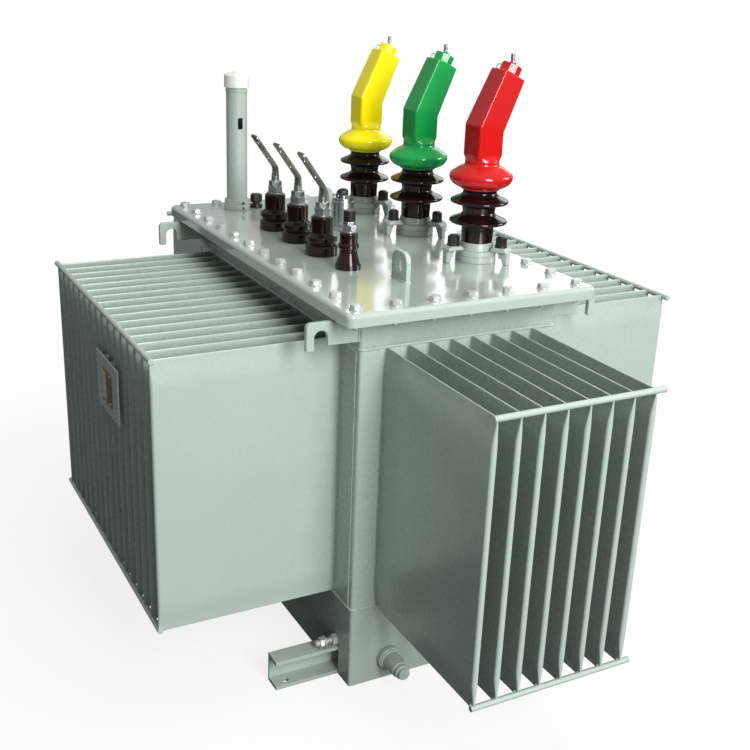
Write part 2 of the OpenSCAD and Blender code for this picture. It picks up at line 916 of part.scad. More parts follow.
// Filler pipe with its foot collars, a bead under the cap and the recess of the oil gauge
module filler_pipe() {
    edge_r = 2;
    bead_z = pipe_height - bead_drop;
    color(paint)
    at_pipe()
    difference() {
        rotate_extrude() {
            round_step(collar_r, 0, collar_h, edge_r);
            round_step(upper_collar_r, collar_h, collar_h + upper_collar_h, edge_r);
            square([pipe_r, pipe_height]);
            round_step(bead_r, bead_z, bead_z + bead_h, bead_h / 4);
        }
        translate([pipe_r, 0, pipe_height - gauge_drop])
            cube([2 * gauge_deep, gauge_w, gauge_h], center = true);
    }
}

// Screw cap of the filler pipe with a shallow crown
module filler_cap() {
    e = cap_edge_r;
    crown_z = cap_h + cap_crown_h;
    color("white")
    at_pipe()
    translate([0, 0, pipe_height])
    rotate_extrude()
        polygon(concat(
            [[0, 0], [cap_r, 0]], arc(cap_r - e, cap_h - e, e, 0, edge_sweep),
            [[cap_crown_r, crown_z], [0, crown_z]]));
}

// Relief valve: hexagon foot, ringed body and a stepped cap
module relief_valve() {
    edge_r = 2;
    body_z = relief_foot_h + relief_neck_h;
    cap_z = relief_height - relief_cap_drop;
    color(zinc)
    translate([relief_x, relief_y, cover_top]) {
        nut(relief_foot_r, relief_foot_h);
        rotate_extrude() {
            square([relief_cap_r, body_z]);
            round_step(relief_r, body_z, cap_z, edge_r);
            round_step(relief_cap_r, cap_z, relief_height - relief_stem_h, edge_r);
            square([relief_stem_r, relief_height]);
        }
    }
}

// Knob of the tap changer on its round seat
module tap_changer() {
    edge_r = 3;
    color(black)
    at_pipe()
    translate([0, pipe_r + tap_gap, 0]) {
        cylinder(r = tap_seat_r, h = tap_seat_h);
        cylinder(r = tap_neck_r, h = tap_seat_h + tap_neck_h + tap_knob_h / 2);
        translate([0, 0, tap_seat_h + tap_neck_h])
            rotate_extrude()
                round_step(tap_knob_r, 0, tap_knob_h, edge_r);
    }
}

// Turned drain valve that stands out of the front wall
module drain_valve() {
    edge_r = 1.5;
    body_z = drain_flange_t + drain_ring_t;
    neck_z = drain_reach - drain_cap_t - drain_neck_t;
    color(paint)
    translate([half_l, drain_inset - half_w, drain_z])
    rotate([0, 90, 0])
    rotate_extrude() {
        round_step(drain_flange_r, 0, drain_flange_t, edge_r);
        round_step(drain_ring_r, drain_flange_t, body_z, edge_r);
        polygon([[0, body_z], [drain_body_r, body_z], [drain_body_end_r, neck_z], [0, neck_z]]);
        round_step(drain_neck_r, neck_z, neck_z + drain_neck_t, edge_r);
        round_step(drain_cap_r, drain_reach - drain_cap_t, drain_reach, edge_r);
    }
}

// Sheet bracket on two bent legs that stand on the tips of two fins of the left side
module nameplate_bracket() {
    color(paint)
    translate([bracket_x, bracket_y, bracket_z]) {
        box([0, -bracket_standoff, 0], [bracket_w, bracket_t - bracket_standoff, bracket_height]);
        for (k = [1, bracket_span_count - 1])
            translate([k * fin_pitch, 0, 0]) {
                box([0, -bracket_standoff, 0], [bracket_t, 0, bracket_height]);
                box([0, -bracket_t, 0], [fin_t, 0, bracket_height]);
            }
    }
}

// Bare plate in the middle of the bracket
module nameplate() {
    color("#8c7862")
    translate([bracket_x + bracket_w / 2, bracket_y - bracket_standoff, bracket_z + bracket_height / 2])
        rotate([90, 0, 0])
            linear_extrude(plate_t)
                rounded_rectangle(plate_w, plate_h, plate_corner_r);
}

// Earthing stud low on the left wall with its boss and nuts
module earth_stud() {
    color(zinc)
    translate([half_l - earth_inset, -half_w, channel_height + earth_rise])
    rotate([90, 0, 0]) {
        nut(earth_boss_r, earth_boss_t);
        cylinder(r = earth_stud_r, h = earth_stud_length);
        translate([0, 0, earth_nut_place])
            nut(earth_nut_r, earth_nut_t);
    }
}

lower_tank();
corner_posts();
base_channel(1);  // front_base_channel
base_channel(-1);  // rear_base_channel
on_long_side(-1) fin_wall(long_fins);  // left_fin_wall
on_long_side(1) fin_wall(long_fins);  // right_fin_wall
on_short_end(1) fin_wall(short_fins);  // front_fin_wall
on_short_end(-1) fin_wall(short_fins);  // rear_fin_wall
on_long_side(-1) fin_bars(long_fins, -1);  // left_fin_bars
on_long_side(1) fin_bars(long_fins, -1);  // right_fin_bars
on_short_end(1) fin_bars(short_fins, 1);  // front_fin_bars
on_short_end(-1) fin_bars(short_fins, 1);  // rear_fin_bars
tank_rim();
cover();
cover_lugs();
lifting_hooks();
lv_insulator(0);  // lv_insulator_a
lv_insulator(1);  // lv_insulator_b
lv_insulator(2);  // lv_insulator_c
neutral_insulator();
lv_terminal(0);  // lv_terminal_a
lv_terminal(1);  // lv_terminal_b
lv_terminal(2);  // lv_terminal_c
neutral_terminal();
hv_turret(0);  // hv_turret_a
hv_turret(1);  // hv_turret_b
hv_turret(2);  // hv_turret_c
hv_clamps(0);  // hv_clamps_a
hv_clamps(1);  // hv_clamps_b
hv_clamps(2);  // hv_clamps_c
hv_insulator(0);  // hv_insulator_a
hv_insulator(1);  // hv_insulator_b
hv_insulator(2);  // hv_insulator_c
hv_boot(0, "gold");  // hv_boot_a
hv_boot(1, "forestgreen");  // hv_boot_b
hv_boot(2, "firebrick");  // hv_boot_c
hv_studs();
filler_pipe();
filler_cap();
relief_valve();
tap_changer();
drain_valve();
nameplate_bracket();
nameplate();
earth_stud();
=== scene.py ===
"""Looks of an oil-filled transformer: its meshes, finishes, hardware, light and camera.

Lengths are millimetres in the classes and become metres when a mesh is made. The frame is that of
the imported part: +Z up, +X the end with the drain valve, -Y the low-voltage side.
"""

import logging
import math
from dataclasses import dataclass
from enum import Enum
from typing import Sequence

import bpy
from mathutils import Matrix, Quaternion, Vector
from mathutils.geometry import tessellate_polygon


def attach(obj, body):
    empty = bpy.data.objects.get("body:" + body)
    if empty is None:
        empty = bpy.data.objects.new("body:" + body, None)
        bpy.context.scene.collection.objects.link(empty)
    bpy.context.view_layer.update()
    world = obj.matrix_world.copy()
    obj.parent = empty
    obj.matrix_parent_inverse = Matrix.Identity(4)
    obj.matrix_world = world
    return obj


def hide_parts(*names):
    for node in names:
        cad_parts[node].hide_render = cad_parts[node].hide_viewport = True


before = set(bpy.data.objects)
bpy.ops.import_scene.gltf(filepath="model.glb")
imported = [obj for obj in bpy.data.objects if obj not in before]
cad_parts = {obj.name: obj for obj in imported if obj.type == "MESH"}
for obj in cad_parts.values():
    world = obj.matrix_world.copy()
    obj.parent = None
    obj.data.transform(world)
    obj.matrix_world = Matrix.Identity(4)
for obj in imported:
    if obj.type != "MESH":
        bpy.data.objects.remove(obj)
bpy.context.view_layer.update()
LOG = logging.getLogger("transformer")
BODY = "root"
MM = 0.001

TANK_HALF_L = 425
TANK_HALF_W = 210
FIN_FOOT = 174
FIN_HEIGHT = 534
COVER_TOP = 793
ENAMEL = ("b2c1ba", "aab9b1")
WHITE = (1, 1, 1, 1)

Point = tuple[float, float]
Place = tuple[float, float, float]
Colour = tuple[float, float, float, float]
Inputs = dict[str | int, object]
Material = bpy.types.Material
Object = bpy.types.Object
Socket = bpy.types.NodeSocket


class Slot(Enum):
    """Material slots of the record."""

    PAINT = "tank_paint"
    PORCELAIN = "porcelain"
    METAL = "bright_metal"
    YELLOW = "boot_yellow"
    GREEN = "boot_green"
    RED = "boot_red"
    WHITE = "white_plastic"
    BLACK = "black_plastic"
    PLATE = "plate_metal"


class Kind(Enum):
    """Kinds of sockets on the node groups."""

    VALUE = "NodeSocketFloat"
    VECTOR = "NodeSocketVector"
    COUNT = "NodeSocketInt"
    OBJECT = "NodeSocketObject"
    FINISH = "NodeSocketMaterial"
    GEOMETRY = "NodeSocketGeometry"


def colour(code: str) -> Colour:
    """Turns a hex code such as 'b9c6bf' into a linear colour.

    Args:
        code: Red, green and blue as two hex digits each.

    Returns:
        The opaque colour that a shader takes.
    """
    values = [int(code[i : i + 2], 16) / 255 for i in (0, 2, 4)]
    red, green, blue = (v / 12.92 if v <= 0.04045 else ((v + 0.055) / 1.055) ** 2.4 for v in values)
    return red, green, blue, 1.0


def turned(axis: str, degrees: float) -> Matrix:
    """Gives a turn about an axis of the frame."""
    return Matrix.Rotation(math.radians(degrees), 4, axis)


def moved(x: float, y: float, z: float) -> Matrix:
    """Gives a shift in millimetres."""
    return Matrix.Translation((x, y, z))


def ramp(value: float, low: float, high: float) -> float:
    """Gives the share of a range that a value has covered, from 0 to 1."""
    return max(0.0, min(1.0, (value - low) / (high - low)))


def swing(share: float) -> float:
    """Eases a share in and out."""
    return share * share * (3 - 2 * share)


def arc(x: float, y: float, r: float, start: float, end: float, steps: int = 10) -> list[Point]:
    """Gives points on an arc.

    Args:
        x: Centre along the first axis.
        y: Centre along the second axis.
        r: Radius.
        start: First angle in degrees.
        end: Last angle in degrees.
        steps: Number of pieces that the arc is cut into.

    Returns:
        The points, both ends included.
    """
    angles = [math.radians(start + (end - start) * k / steps) for k in range(steps + 1)]
    return [(x + r * math.cos(a), y + r * math.sin(a)) for a in angles]


def round_hole(x: float, y: float, r: float) -> list[Point]:
    """Gives the edge of a round hole, clockwise."""
    return arc(x, y, r, 360, 10, 35)


def eased(points: Sequence[Point], r: float, closed: bool = False, steps: int = 3) -> list[Point]:
    """Rounds the corners of a line of points.

    Args:
        points: The corners.
        r: Radius of the rounding, made smaller where a side is short.
        closed: Whether the last point joins the first.
        steps: Number of pieces in a rounded corner.

    Returns:
        The rounded line.
    """
    straight, most = math.radians(158), 0.45
    count = len(points)
    result: list[Point] = [] if closed else [points[0]]
    for i in range(count) if closed else range(1, count - 1):
        corner = Vector(points[i])
        back = Vector(points[i - 1]) - corner
        ahead = Vector(points[(i + 1) % count]) - corner
        angle = back.angle(ahead)
        if angle > straight:
            result.append((corner.x, corner.y))
            continue
        reach = min(r / math.tan(angle / 2), back.length * most, ahead.length * most)
        start, end = corner + back.normalized() * reach, corner + ahead.normalized() * reach
        for k in range(steps + 1):
            t = k / steps
            spot = start * (1 - t) ** 2 + corner * (2 * t * (1 - t)) + end * t**2
            result.append((spot.x, spot.y))
    if not closed:
        result.append(points[-1])
    return result


def rounded_rectangle(half_l: float, half_w: float, r: float, steps: int = 8) -> list[Point]:
    """Gives the outline of a rectangle with round corners.

    Args:
        half_l: Half its length, along X.
        half_w: Half its width, along Y.
        r: Radius of the corners.
        steps: Number of pieces in a corner.

    Returns:
        The outline, anticlockwise from the +X side.
    """
    result: list[Point] = []
    for sx, sy, start in ((1, 1, 0), (-1, 1, 90), (-1, -1, 180), (1, -1, 270)):
        result += arc(sx * (half_l - r), sy * (half_w - r), r, start, start + 90, steps)
    return result


def inward(loop: Sequence[Point], distance: float) -> list[Point]:
    """Shifts a closed outline to the left of its direction of travel.

    Args:
        loop: The outline.
        distance: How far each side moves.

    Returns:
        The shifted outline, point for point.
    """
    least = 0.3
    result: list[Point] = []
    for i, point in enumerate(loop):
        spot = Vector(point)
        before = (spot - Vector(loop[i - 1])).normalized()
        after = (Vector(loop[(i + 1) % len(loop)]) - spot).normalized()
        normal = Vector((-before.y - after.y, before.x + after.x))
        spot = spot + normal * (distance / max(normal.length_squared / 2, least))
        result.append((spot.x, spot.y))
    return result


class Shells:
    """Closed shells gathered for one piece."""

    def __init__(self) -> None:
        """Starts with nothing gathered."""
        self.verts: list[Vector] = []
        self.faces: list[tuple[int, ...]] = []

    def add(self, verts: Sequence[Vector], faces: Sequence[Sequence[int]], place: Matrix) -> None:
        """Adds one shell.

        Args:
            verts: Its points.
            faces: Its faces, as numbers of points.
            place: Where it goes.
        """
        start = len(self.verts)
        self.verts += [place @ Vector(v) for v in verts]
        self.faces += [tuple(start + i for i in face) for face in faces]

    def rings(
        self, rings: Sequence[Sequence[Vector]], place: Matrix = Matrix(), capped: bool = True
    ) -> None:
        """Joins rings of equal count into a skin.

        Args:
            rings: The rings in order, each anticlockwise seen from the last one.
            place: Where the skin goes.
            capped: Whether the first and last ring are closed by a face; else the last joins the first.
        """
        count = len(rings[0])
        last = len(rings) - 1
        faces: list[tuple[int, ...]] = []
        pairs = [(k, k + 1) for k in range(last)]
        if not capped:
            pairs.append((last, 0))
        for low, high in pairs:
            for i in range(count):
                j = (i + 1) % count
                faces.append((low * count + i, low * count + j, high * count + j, high * count + i))
        if capped:
            faces.append(tuple(reversed(range(count))))
            faces.append(tuple(last * count + i for i in range(count)))
        self.add([v for ring in rings for v in ring], faces, place)

    def lathe(self, profile: Sequence[Point], place: Matrix = Matrix(), sides: int = 64) -> None:
        """Turns a profile about the upright axis.

        Args:
            profile: Radius and height of each step, from the foot on the axis to the top on the axis.
            place: Where the turned shell goes.
            sides: Number of sides.
        """
        verts: list[Vector] = [Vector((0, 0, profile[0][1]))]
        faces: list[tuple[int, ...]] = []
        steps = profile[1:-1]
        for r, z in steps:
            for k in range(sides):
                angle = 2 * math.pi * k / sides
                verts.append(Vector((r * math.cos(angle), r * math.sin(angle), z)))
        top = len(verts)
        verts.append(Vector((0, 0, profile[-1][1])))
        for k in range(sides):
            j = (k + 1) % sides
            faces.append((0, 1 + j, 1 + k))
            for step in range(len(steps) - 1):
                low, high = 1 + step * sides, 1 + (step + 1) * sides
                faces.append((low + k, low + j, high + j, high + k))
            faces.append((top, top - sides + k, top - sides + j))
        self.add(verts, faces, place)

    def disc(
        self,
        r: float,
        low: float,
        high: float,
        ease: float,
        place: Matrix = Matrix(),
        sides: int = 48,
        crown: float = 0,
    ) -> None:
        """Adds a round disc, pin or cap with eased edges, whose top may rise to a crown."""
        self.lathe(eased([(0, low), (r, low), (r, high), (0, high + crown)], ease), place, sides)

    def plate(
        self,
        outline: Sequence[Point],
        thickness: float,
        place: Matrix = Matrix(),
        holes: Sequence[Sequence[Point]] = (),
        edge: float = 0.8,
    ) -> None:
        """Adds a flat plate with eased edges, half of it on each side of its plane.

        Args:
            outline: Outer edge, anticlockwise.
            thickness: Thickness of the plate.
            place: Where the plate's plane goes.
            holes: Edges of the holes, clockwise.
            edge: Width of the eased edge.
        """
        half, bend = thickness / 2, edge * 0.3
        verts: list[Vector] = []
        faces: list[tuple[int, ...]] = []
        flats: list[list[Vector]] = []
        tops: list[int] = []
        lows: list[int] = []
        for loop in (outline, *holes):
            count, start = len(loop), len(verts)
            inner, middle = inward(loop, edge), inward(loop, bend)
            levels = (
                (inner, half), (middle, half - bend), (loop, half - edge),
                (loop, edge - half), (middle, bend - half), (inner, -half),
            )
            for points, z in levels:
                verts += [Vector((x, y, z)) for x, y in points]
            for level in range(len(levels) - 1):
                upper, lower = start + level * count, start + (level + 1) * count
                for i in range(count):
                    j = (i + 1) % count
                    faces.append((upper + j, upper + i, lower + i, lower + j))
            flats.append([Vector((x, y, 0)) for x, y in inner])
            tops += range(start, start + count)
            lows += range(len(verts) - count, len(verts))
        spots = [spot for flat in flats for spot in flat]
        for a, b, c in tessellate_polygon(flats):
            side = (spots[b] - spots[a]).cross(spots[c] - spots[a])
            a, c = (a, c) if side.z > 0 else (c, a)
            faces.append((tops[a], tops[b], tops[c]))
            faces.append((lows[c], lows[b], lows[a]))
        self.add(verts, faces, place)

    def nut(self, across: float, height: float, place: Matrix = Matrix(), turn: float = 0) -> None:
        """Adds a hexagon with both faces chamfered.

        Args:
            across: Width over the flats.
            height: Height of the hexagon.
            place: Where its lower face goes.
            turn: Turn about its axis in degrees.
        """
        sides, flat, sixth = 48, across / 2, math.pi / 3
        face, start, step = flat * 0.96, flat * 0.98, flat * 0.02
        slope = math.tan(math.radians(28))
        rim: list[tuple[float, float, float]] = []
        for k in range(sides):
            angle = 2 * math.pi * k / sides
            off = (angle + sixth / 2) % sixth - sixth / 2
            r = flat / math.cos(off)
            rim.append((angle + math.radians(turn), r, step + max(0.0, (r - start) * slope)))
        levels = (
            [(a, face, 0.0) for a, _, _ in rim],
            rim,
            [(a, r, height - fall) for a, r, fall in rim],
            [(a, face, height) for a, _, _ in rim],
        )
        rings = [[Vector((r * math.cos(a), r * math.sin(a), z)) for a, r, z in level] for level in levels]
        self.rings(rings, place)

    def thread(self, r: float, length: float, place: Matrix = Matrix(), pitch: float = 1.6) -> None:
        """Adds a threaded rod.

        Args:
            r: Outer radius of the thread.
            length: Length of the rod.
            place: Where its lower end goes.
            pitch: Height of one turn.
        """
        root = r * 0.86
        profile: list[Point] = [(0, 0), (root, 0)]
        for k in range(int(length / pitch)):
            foot = k * pitch
            profile += [(root, foot + pitch * 0.15), (r, foot + pitch * 0.5), (root, foot + pitch * 0.85)]
        profile += [(r * 0.8, length), (0, length)]
        self.lathe(profile, place, 32)

    def torus(self, r: float, wire: float, place: Matrix = Matrix()) -> None:
        """Adds a ring of round wire.

        Args:
            r: Radius of the ring.
            wire: Radius of the wire.
            place: Where the ring's plane goes.
        """
        sides, around = 40, 14
        section = [2 * math.pi * i / around for i in range(around)]
        rings: list[list[Vector]] = []
        for k in range(sides):
            turn = Matrix.Rotation(2 * math.pi * k / sides, 4, "Z")
            rings.append([turn @ Vector((r + wire * math.cos(b), 0, wire * math.sin(b))) for b in section])
        self.rings(rings, place, capped=False)

    def mesh_object(self, name: str, sharp: float = 42) -> Object:
        """Makes an object from the shells, in metres.

        Args:
            name: Name of the object.
            sharp: Edges that turn by more than this many degrees stay crisp.

        Returns:
            The new object, linked to the scene.
        """
        mesh = bpy.data.meshes.new(name)
        mesh.from_pydata([v * MM for v in self.verts], [], self.faces)
        mesh.validate()
        shade(mesh, sharp)
        return link(name, mesh)

    def piece(
        self, name: str, finish: Material, slot: Slot, *nodes: str, sharp: float = 42, flats: bool = True
    ) -> Object:
        """Makes a dressed piece from the shells.

        Args:
            name: Name of the piece.
            finish: Its material.
            slot: Slot of the record that it belongs to.
            nodes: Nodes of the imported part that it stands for.
            sharp: Edges that turn by more than this many degrees stay crisp.
            flats: Whether its large faces set the shading.

        Returns:
            The piece.
        """
        obj = self.mesh_object(name, sharp)
        if flats:
            weigh_normals(obj)
        return dress(obj, finish, slot, *nodes)


def shade(mesh: bpy.types.Mesh, sharp: float) -> None:
    """Shades a mesh smoothly, apart from edges that turn by more than some degrees."""
    mesh.shade_smooth()
    mesh.set_sharp_from_angle(angle=math.radians(sharp))


def link(name: str, mesh: bpy.types.Mesh) -> Object:
    """Puts a mesh into the scene as an object at the origin.

    Args:
        name: Name of the object.
        mesh: Its mesh.

    Returns:
        The object.
    """
    obj = bpy.data.objects.new(name, mesh)
    bpy.context.scene.collection.objects.link(obj)
    return obj


def settle(obj: Object) -> None:
    """Turns an object's modifiers into its plain mesh.

    Args:
        obj: The object, which keeps its name.
    """
    graph = bpy.context.evaluated_depsgraph_get()
    mesh = bpy.data.meshes.new_from_object(obj.evaluated_get(graph))
    obj.modifiers.clear()
    old = obj.data
    obj.data = mesh
    bpy.data.meshes.remove(old)
    mesh.name = obj.name


def weigh_normals(obj: Object) -> None:
    """Lets the large faces of an object set its shading, so that flats stay flat beside eased edges.

    Args:
        obj: The object.
    """
    modifier = obj.modifiers.new("flats", "WEIGHTED_NORMAL")
    modifier.keep_sharp = True
    modifier.weight = 80
    settle(obj)


def dress(obj: Object, finish: Material, slot: Slot, *nodes: str) -> Object:
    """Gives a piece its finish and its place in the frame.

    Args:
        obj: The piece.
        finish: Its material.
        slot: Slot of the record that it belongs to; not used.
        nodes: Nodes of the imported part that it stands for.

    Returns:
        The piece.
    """
    obj.data.materials.clear()
    obj.data.materials.append(finish)
    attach(obj, BODY)
    if nodes:
        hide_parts(*nodes)
    LOG.info("%s: %d faces", obj.name, len(obj.data.polygons))
    return obj


class Wiring:
    """A node tree that is wired by short calls."""

    def __init__(self, tree: bpy.types.NodeTree) -> None:
        """Takes the tree that the calls write to."""
        self.tree = tree

    def feed(self, socket: Socket, value: object) -> None:
        """Links an input to a socket or sets its value.

        Args:
            socket: The input.
            value: A socket to link or a value to set.
        """
        if isinstance(value, Socket):
            self.tree.links.new(value, socket)
        else:
            socket.default_value = value

    def add(self, kind: str, inputs: Inputs | None = None, **settings: object) -> bpy.types.Node:
        """Adds a node.

        Args:
            kind: Type of the node.
            inputs: Value or linked socket of each input, by name or number.
            settings: Properties of the node.

        Returns:
            The new node.
        """
        node = self.tree.nodes.new(kind)
        for key, value in settings.items():
            setattr(node, key, value)
        for key, value in (inputs or {}).items():
            self.feed(node.inputs[key], value)
        return node

    def noise(self, vector: Socket, scale: float | Socket, detail: float, roughness: float) -> Socket:
        """Adds a cloud pattern and gives its value."""
        inputs = {"Vector": vector, "Scale": scale, "Detail": detail, "Roughness": roughness}
        return self.add("ShaderNodeTexNoise", inputs).outputs["Fac"]

    def spread(
        self, value: Socket, low: float, high: float, to_low: float = 0, to_high: float = 1
    ) -> Socket:
        """Maps a value from one range to another and keeps it inside."""
        inputs = {0: value, 1: low, 2: high, 3: to_low, 4: to_high}
        return self.add("ShaderNodeMapRange", inputs).outputs[0]

    def reckon(self, operation: str, first: float | Socket, second: float | Socket = 0.0) -> Socket:
        """Adds a sum and gives its value."""
        return self.add("ShaderNodeMath", {0: first, 1: second}, operation=operation).outputs[0]

    def blend(self, share: float | Socket, first: Colour | Socket, second: Colour | Socket) -> Socket:
        """Mixes two colours."""
        return self.add("ShaderNodeMix", {0: share, 6: first, 7: second}, data_type="RGBA").outputs[2]


class ShaderGroup:
    """A shader node group with named sockets, to be used by several finishes."""

    def __init__(self, name: str, inputs: dict[str, float], outputs: dict[str, Kind]) -> None:
        """Makes an empty group.

        Args:
            name: Name of the group.
            inputs: Name and default of each number that it takes.
            outputs: Name and kind of each result.
        """
        self.tree = bpy.data.node_groups.new(name, "ShaderNodeTree")
        sockets = self.tree.interface
        for key, value in inputs.items():
            socket = sockets.new_socket(key, in_out="INPUT", socket_type=Kind.VALUE.value)
            socket.default_value = value
        for key, kind in outputs.items():
            sockets.new_socket(key, in_out="OUTPUT", socket_type=kind.value)
        self.wires = Wiring(self.tree)
        self.source = self.wires.add("NodeGroupInput").outputs
        self.target = self.wires.add("NodeGroupOutput").inputs

    def place(self) -> Socket:
        """Gives the object's own coordinates."""
        return self.wires.add("ShaderNodeTexCoord").outputs["Object"]

    def give(self, name: str, value: Socket) -> None:
        """Links a result."""
        self.wires.feed(self.target[name], value)

    def use(self, wires: Wiring, **inputs: float) -> bpy.types.NodeOutputs:
        """Adds the group to a material's tree with its own values and gives its results."""
        return wires.add("ShaderNodeGroup", inputs, node_tree=self.tree).outputs


class Effects:
    """The shader groups that the finishes share."""

    def __init__(self) -> None:
        """Builds every group once."""
        self.mottle = self._mottle()
        self.skin = self._skin()
        self.edges = self._edges()
        self.dust = self._dust()
        self.grime = self._crevice_shade()
        self.grain = self._grain()

    def _mottle(self) -> ShaderGroup:
        """Builds broad clouds and fine specks.

        Returns:
            The group.
        """
        group = ShaderGroup("mottle", {"Scale": 6.0}, {"Clouds": Kind.VALUE, "Specks": Kind.VALUE})
        wires, place, scale = group.wires, group.place(), group.source["Scale"]
        clouds = wires.noise(place, scale, detail=4, roughness=0.6)
        specks = wires.noise(place, wires.reckon("MULTIPLY", scale, 22.0), detail=2, roughness=0.6)
        group.give("Clouds", wires.spread(clouds, 0.33, 0.67))
        group.give("Specks", wires.spread(specks, 0.3, 0.7))
        return group

    def _skin(self) -> ShaderGroup:
        """Builds the height of a sprayed or moulded skin.

        Returns:
            The group.
        """
        group = ShaderGroup("skin", {"Scale": 320.0}, {"Height": Kind.VALUE})
        wires, place, scale = group.wires, group.place(), group.source["Scale"]
        ripple = wires.noise(place, scale, detail=1.5, roughness=0.5)
        sag = wires.noise(place, wires.reckon("MULTIPLY", scale, 0.06), detail=1, roughness=0.5)
        group.give("Height", wires.reckon("ADD", ripple, wires.reckon("MULTIPLY", sag, 2.5)))
        return group

    def _edges(self) -> ShaderGroup:
        """Builds a mask of edges, used as rubbed wear on paint and as painted highlight on mouldings, and the
        normal of an eased edge.

        Returns:
            The group.
        """
        sizes = {"Radius": 0.0012, "Broken": 60.0}
        group = ShaderGroup("edges", sizes, {"Mask": Kind.VALUE, "Normal": Kind.VECTOR})
        wires, source = group.wires, group.source
        normal = wires.add("ShaderNodeBevel", {"Radius": source["Radius"]}, samples=6).outputs["Normal"]
        plain = wires.add("ShaderNodeNewGeometry").outputs["Normal"]
        dot = wires.add("ShaderNodeVectorMath", {0: normal, 1: plain}, operation="DOT_PRODUCT")
        turn = wires.spread(dot.outputs["Value"], 0.995, 0.8)
        broken = wires.noise(group.place(), source["Broken"], detail=4, roughness=0.7)
        group.give("Mask", wires.reckon("MULTIPLY", turn, wires.spread(broken, 0.3, 0.62)))
        group.give("Normal", normal)
        return group

    def _dust(self) -> ShaderGroup:
        """Builds a mask of dust on faces that look up and of splash near the ground.

        Returns:
            The group.
        """
        group = ShaderGroup("dust", {"Splash": 0.09}, {"Mask": Kind.VALUE})
        wires, place = group.wires, group.place()
        normal = wires.add("ShaderNodeNewGeometry").outputs["Normal"]
        up = wires.add("ShaderNodeSeparateXYZ", {0: normal}).outputs["Z"]
        height = wires.add("ShaderNodeSeparateXYZ", {0: place}).outputs["Z"]
        low = wires.spread(wires.reckon("DIVIDE", height, group.source["Splash"]), 1.0, 0.0)
        lying = wires.spread(up, 0.6, 1.0, 0.0, 0.7)
        clouds = wires.spread(wires.noise(place, 9.0, detail=5, roughness=0.65), 0.38, 0.7)
        group.give("Mask", wires.reckon("MULTIPLY", wires.reckon("MAXIMUM", lying, low), clouds))
        return group

    def _crevice_shade(self) -> ShaderGroup:
        """Builds a mask of painted shade in narrow gaps and corners, from ambient occlusion broken by clouds.

        Returns:
            The group.
        """
        group = ShaderGroup("grime", {"Reach": 0.12}, {"Mask": Kind.VALUE})
        wires = group.wires
        inputs = {"Distance": group.source["Reach"]}
        open_sky = wires.add("ShaderNodeAmbientOcclusion", inputs, samples=6).outputs["AO"]
        clouds = wires.noise(group.place(), 14.0, detail=4, roughness=0.6)
        clouds = wires.spread(clouds, 0.3, 0.7, 0.8, 1.0)
        group.give("Mask", wires.reckon("MULTIPLY", wires.spread(open_sky, 0.8, 0.1), clouds))
        return group

    def _grain(self) -> ShaderGroup:
        """Builds the fine lines of turned or drawn metal.

        Returns:
            The group.
        """
        group = ShaderGroup("grain", {"Scale": 90.0, "Long": 0.06}, {"Lines": Kind.VALUE})
        wires, along = group.wires, group.source["Long"]
        stretch = wires.add("ShaderNodeCombineXYZ", {0: along, 1: along, 2: 6.0}).outputs[0]
        drawn = wires.add("ShaderNodeVectorMath", {0: group.place(), 1: stretch}, operation="MULTIPLY")
        lines = wires.noise(drawn.outputs["Vector"], group.source["Scale"], detail=4, roughness=0.65)
        group.give("Lines", lines)
        return group


class Finish:
    """A material whose Principled shader is wired by the finishes below."""

    def __init__(self, name: str) -> None:
        """Makes an empty material with its shader.

        Args:
            name: Name of the material.
        """
        self.material = bpy.data.materials.new(name)
        self.material.use_nodes = True
        self.wires = Wiring(self.material.node_tree)
        self.shader = self.material.node_tree.nodes["Principled BSDF"]

    def set(self, **values: object) -> None:
        """Sets or links the shader's sockets; an underscore stands for a space in their names."""
        for key, value in values.items():
            self.wires.feed(self.shader.inputs[key.replace("_", " ")], value)

    def layer(self, tone: Colour | Socket, mask: Socket, share: float, over: str) -> Socket:
        """Lays a share of a colour over a tone, where a mask lets it."""
        return self.wires.blend(self.wires.reckon("MULTIPLY", mask, share), tone, colour(over))

    def bump(self, height: Socket, depth: float, normal: Socket | None = None) -> Socket:
        """Turns a height into a normal.

        Args:
            height: Height, from 0 to 1.
            depth: Depth of the relief in metres.
            normal: Normal that the relief stands on.

        Returns:
            The bumped normal.
        """
        inputs: Inputs = {"Height": height, "Distance": depth, "Strength": 1.0}
        if normal is not None:
            inputs["Normal"] = normal
        return self.wires.add("ShaderNodeBump", inputs).outputs["Normal"]


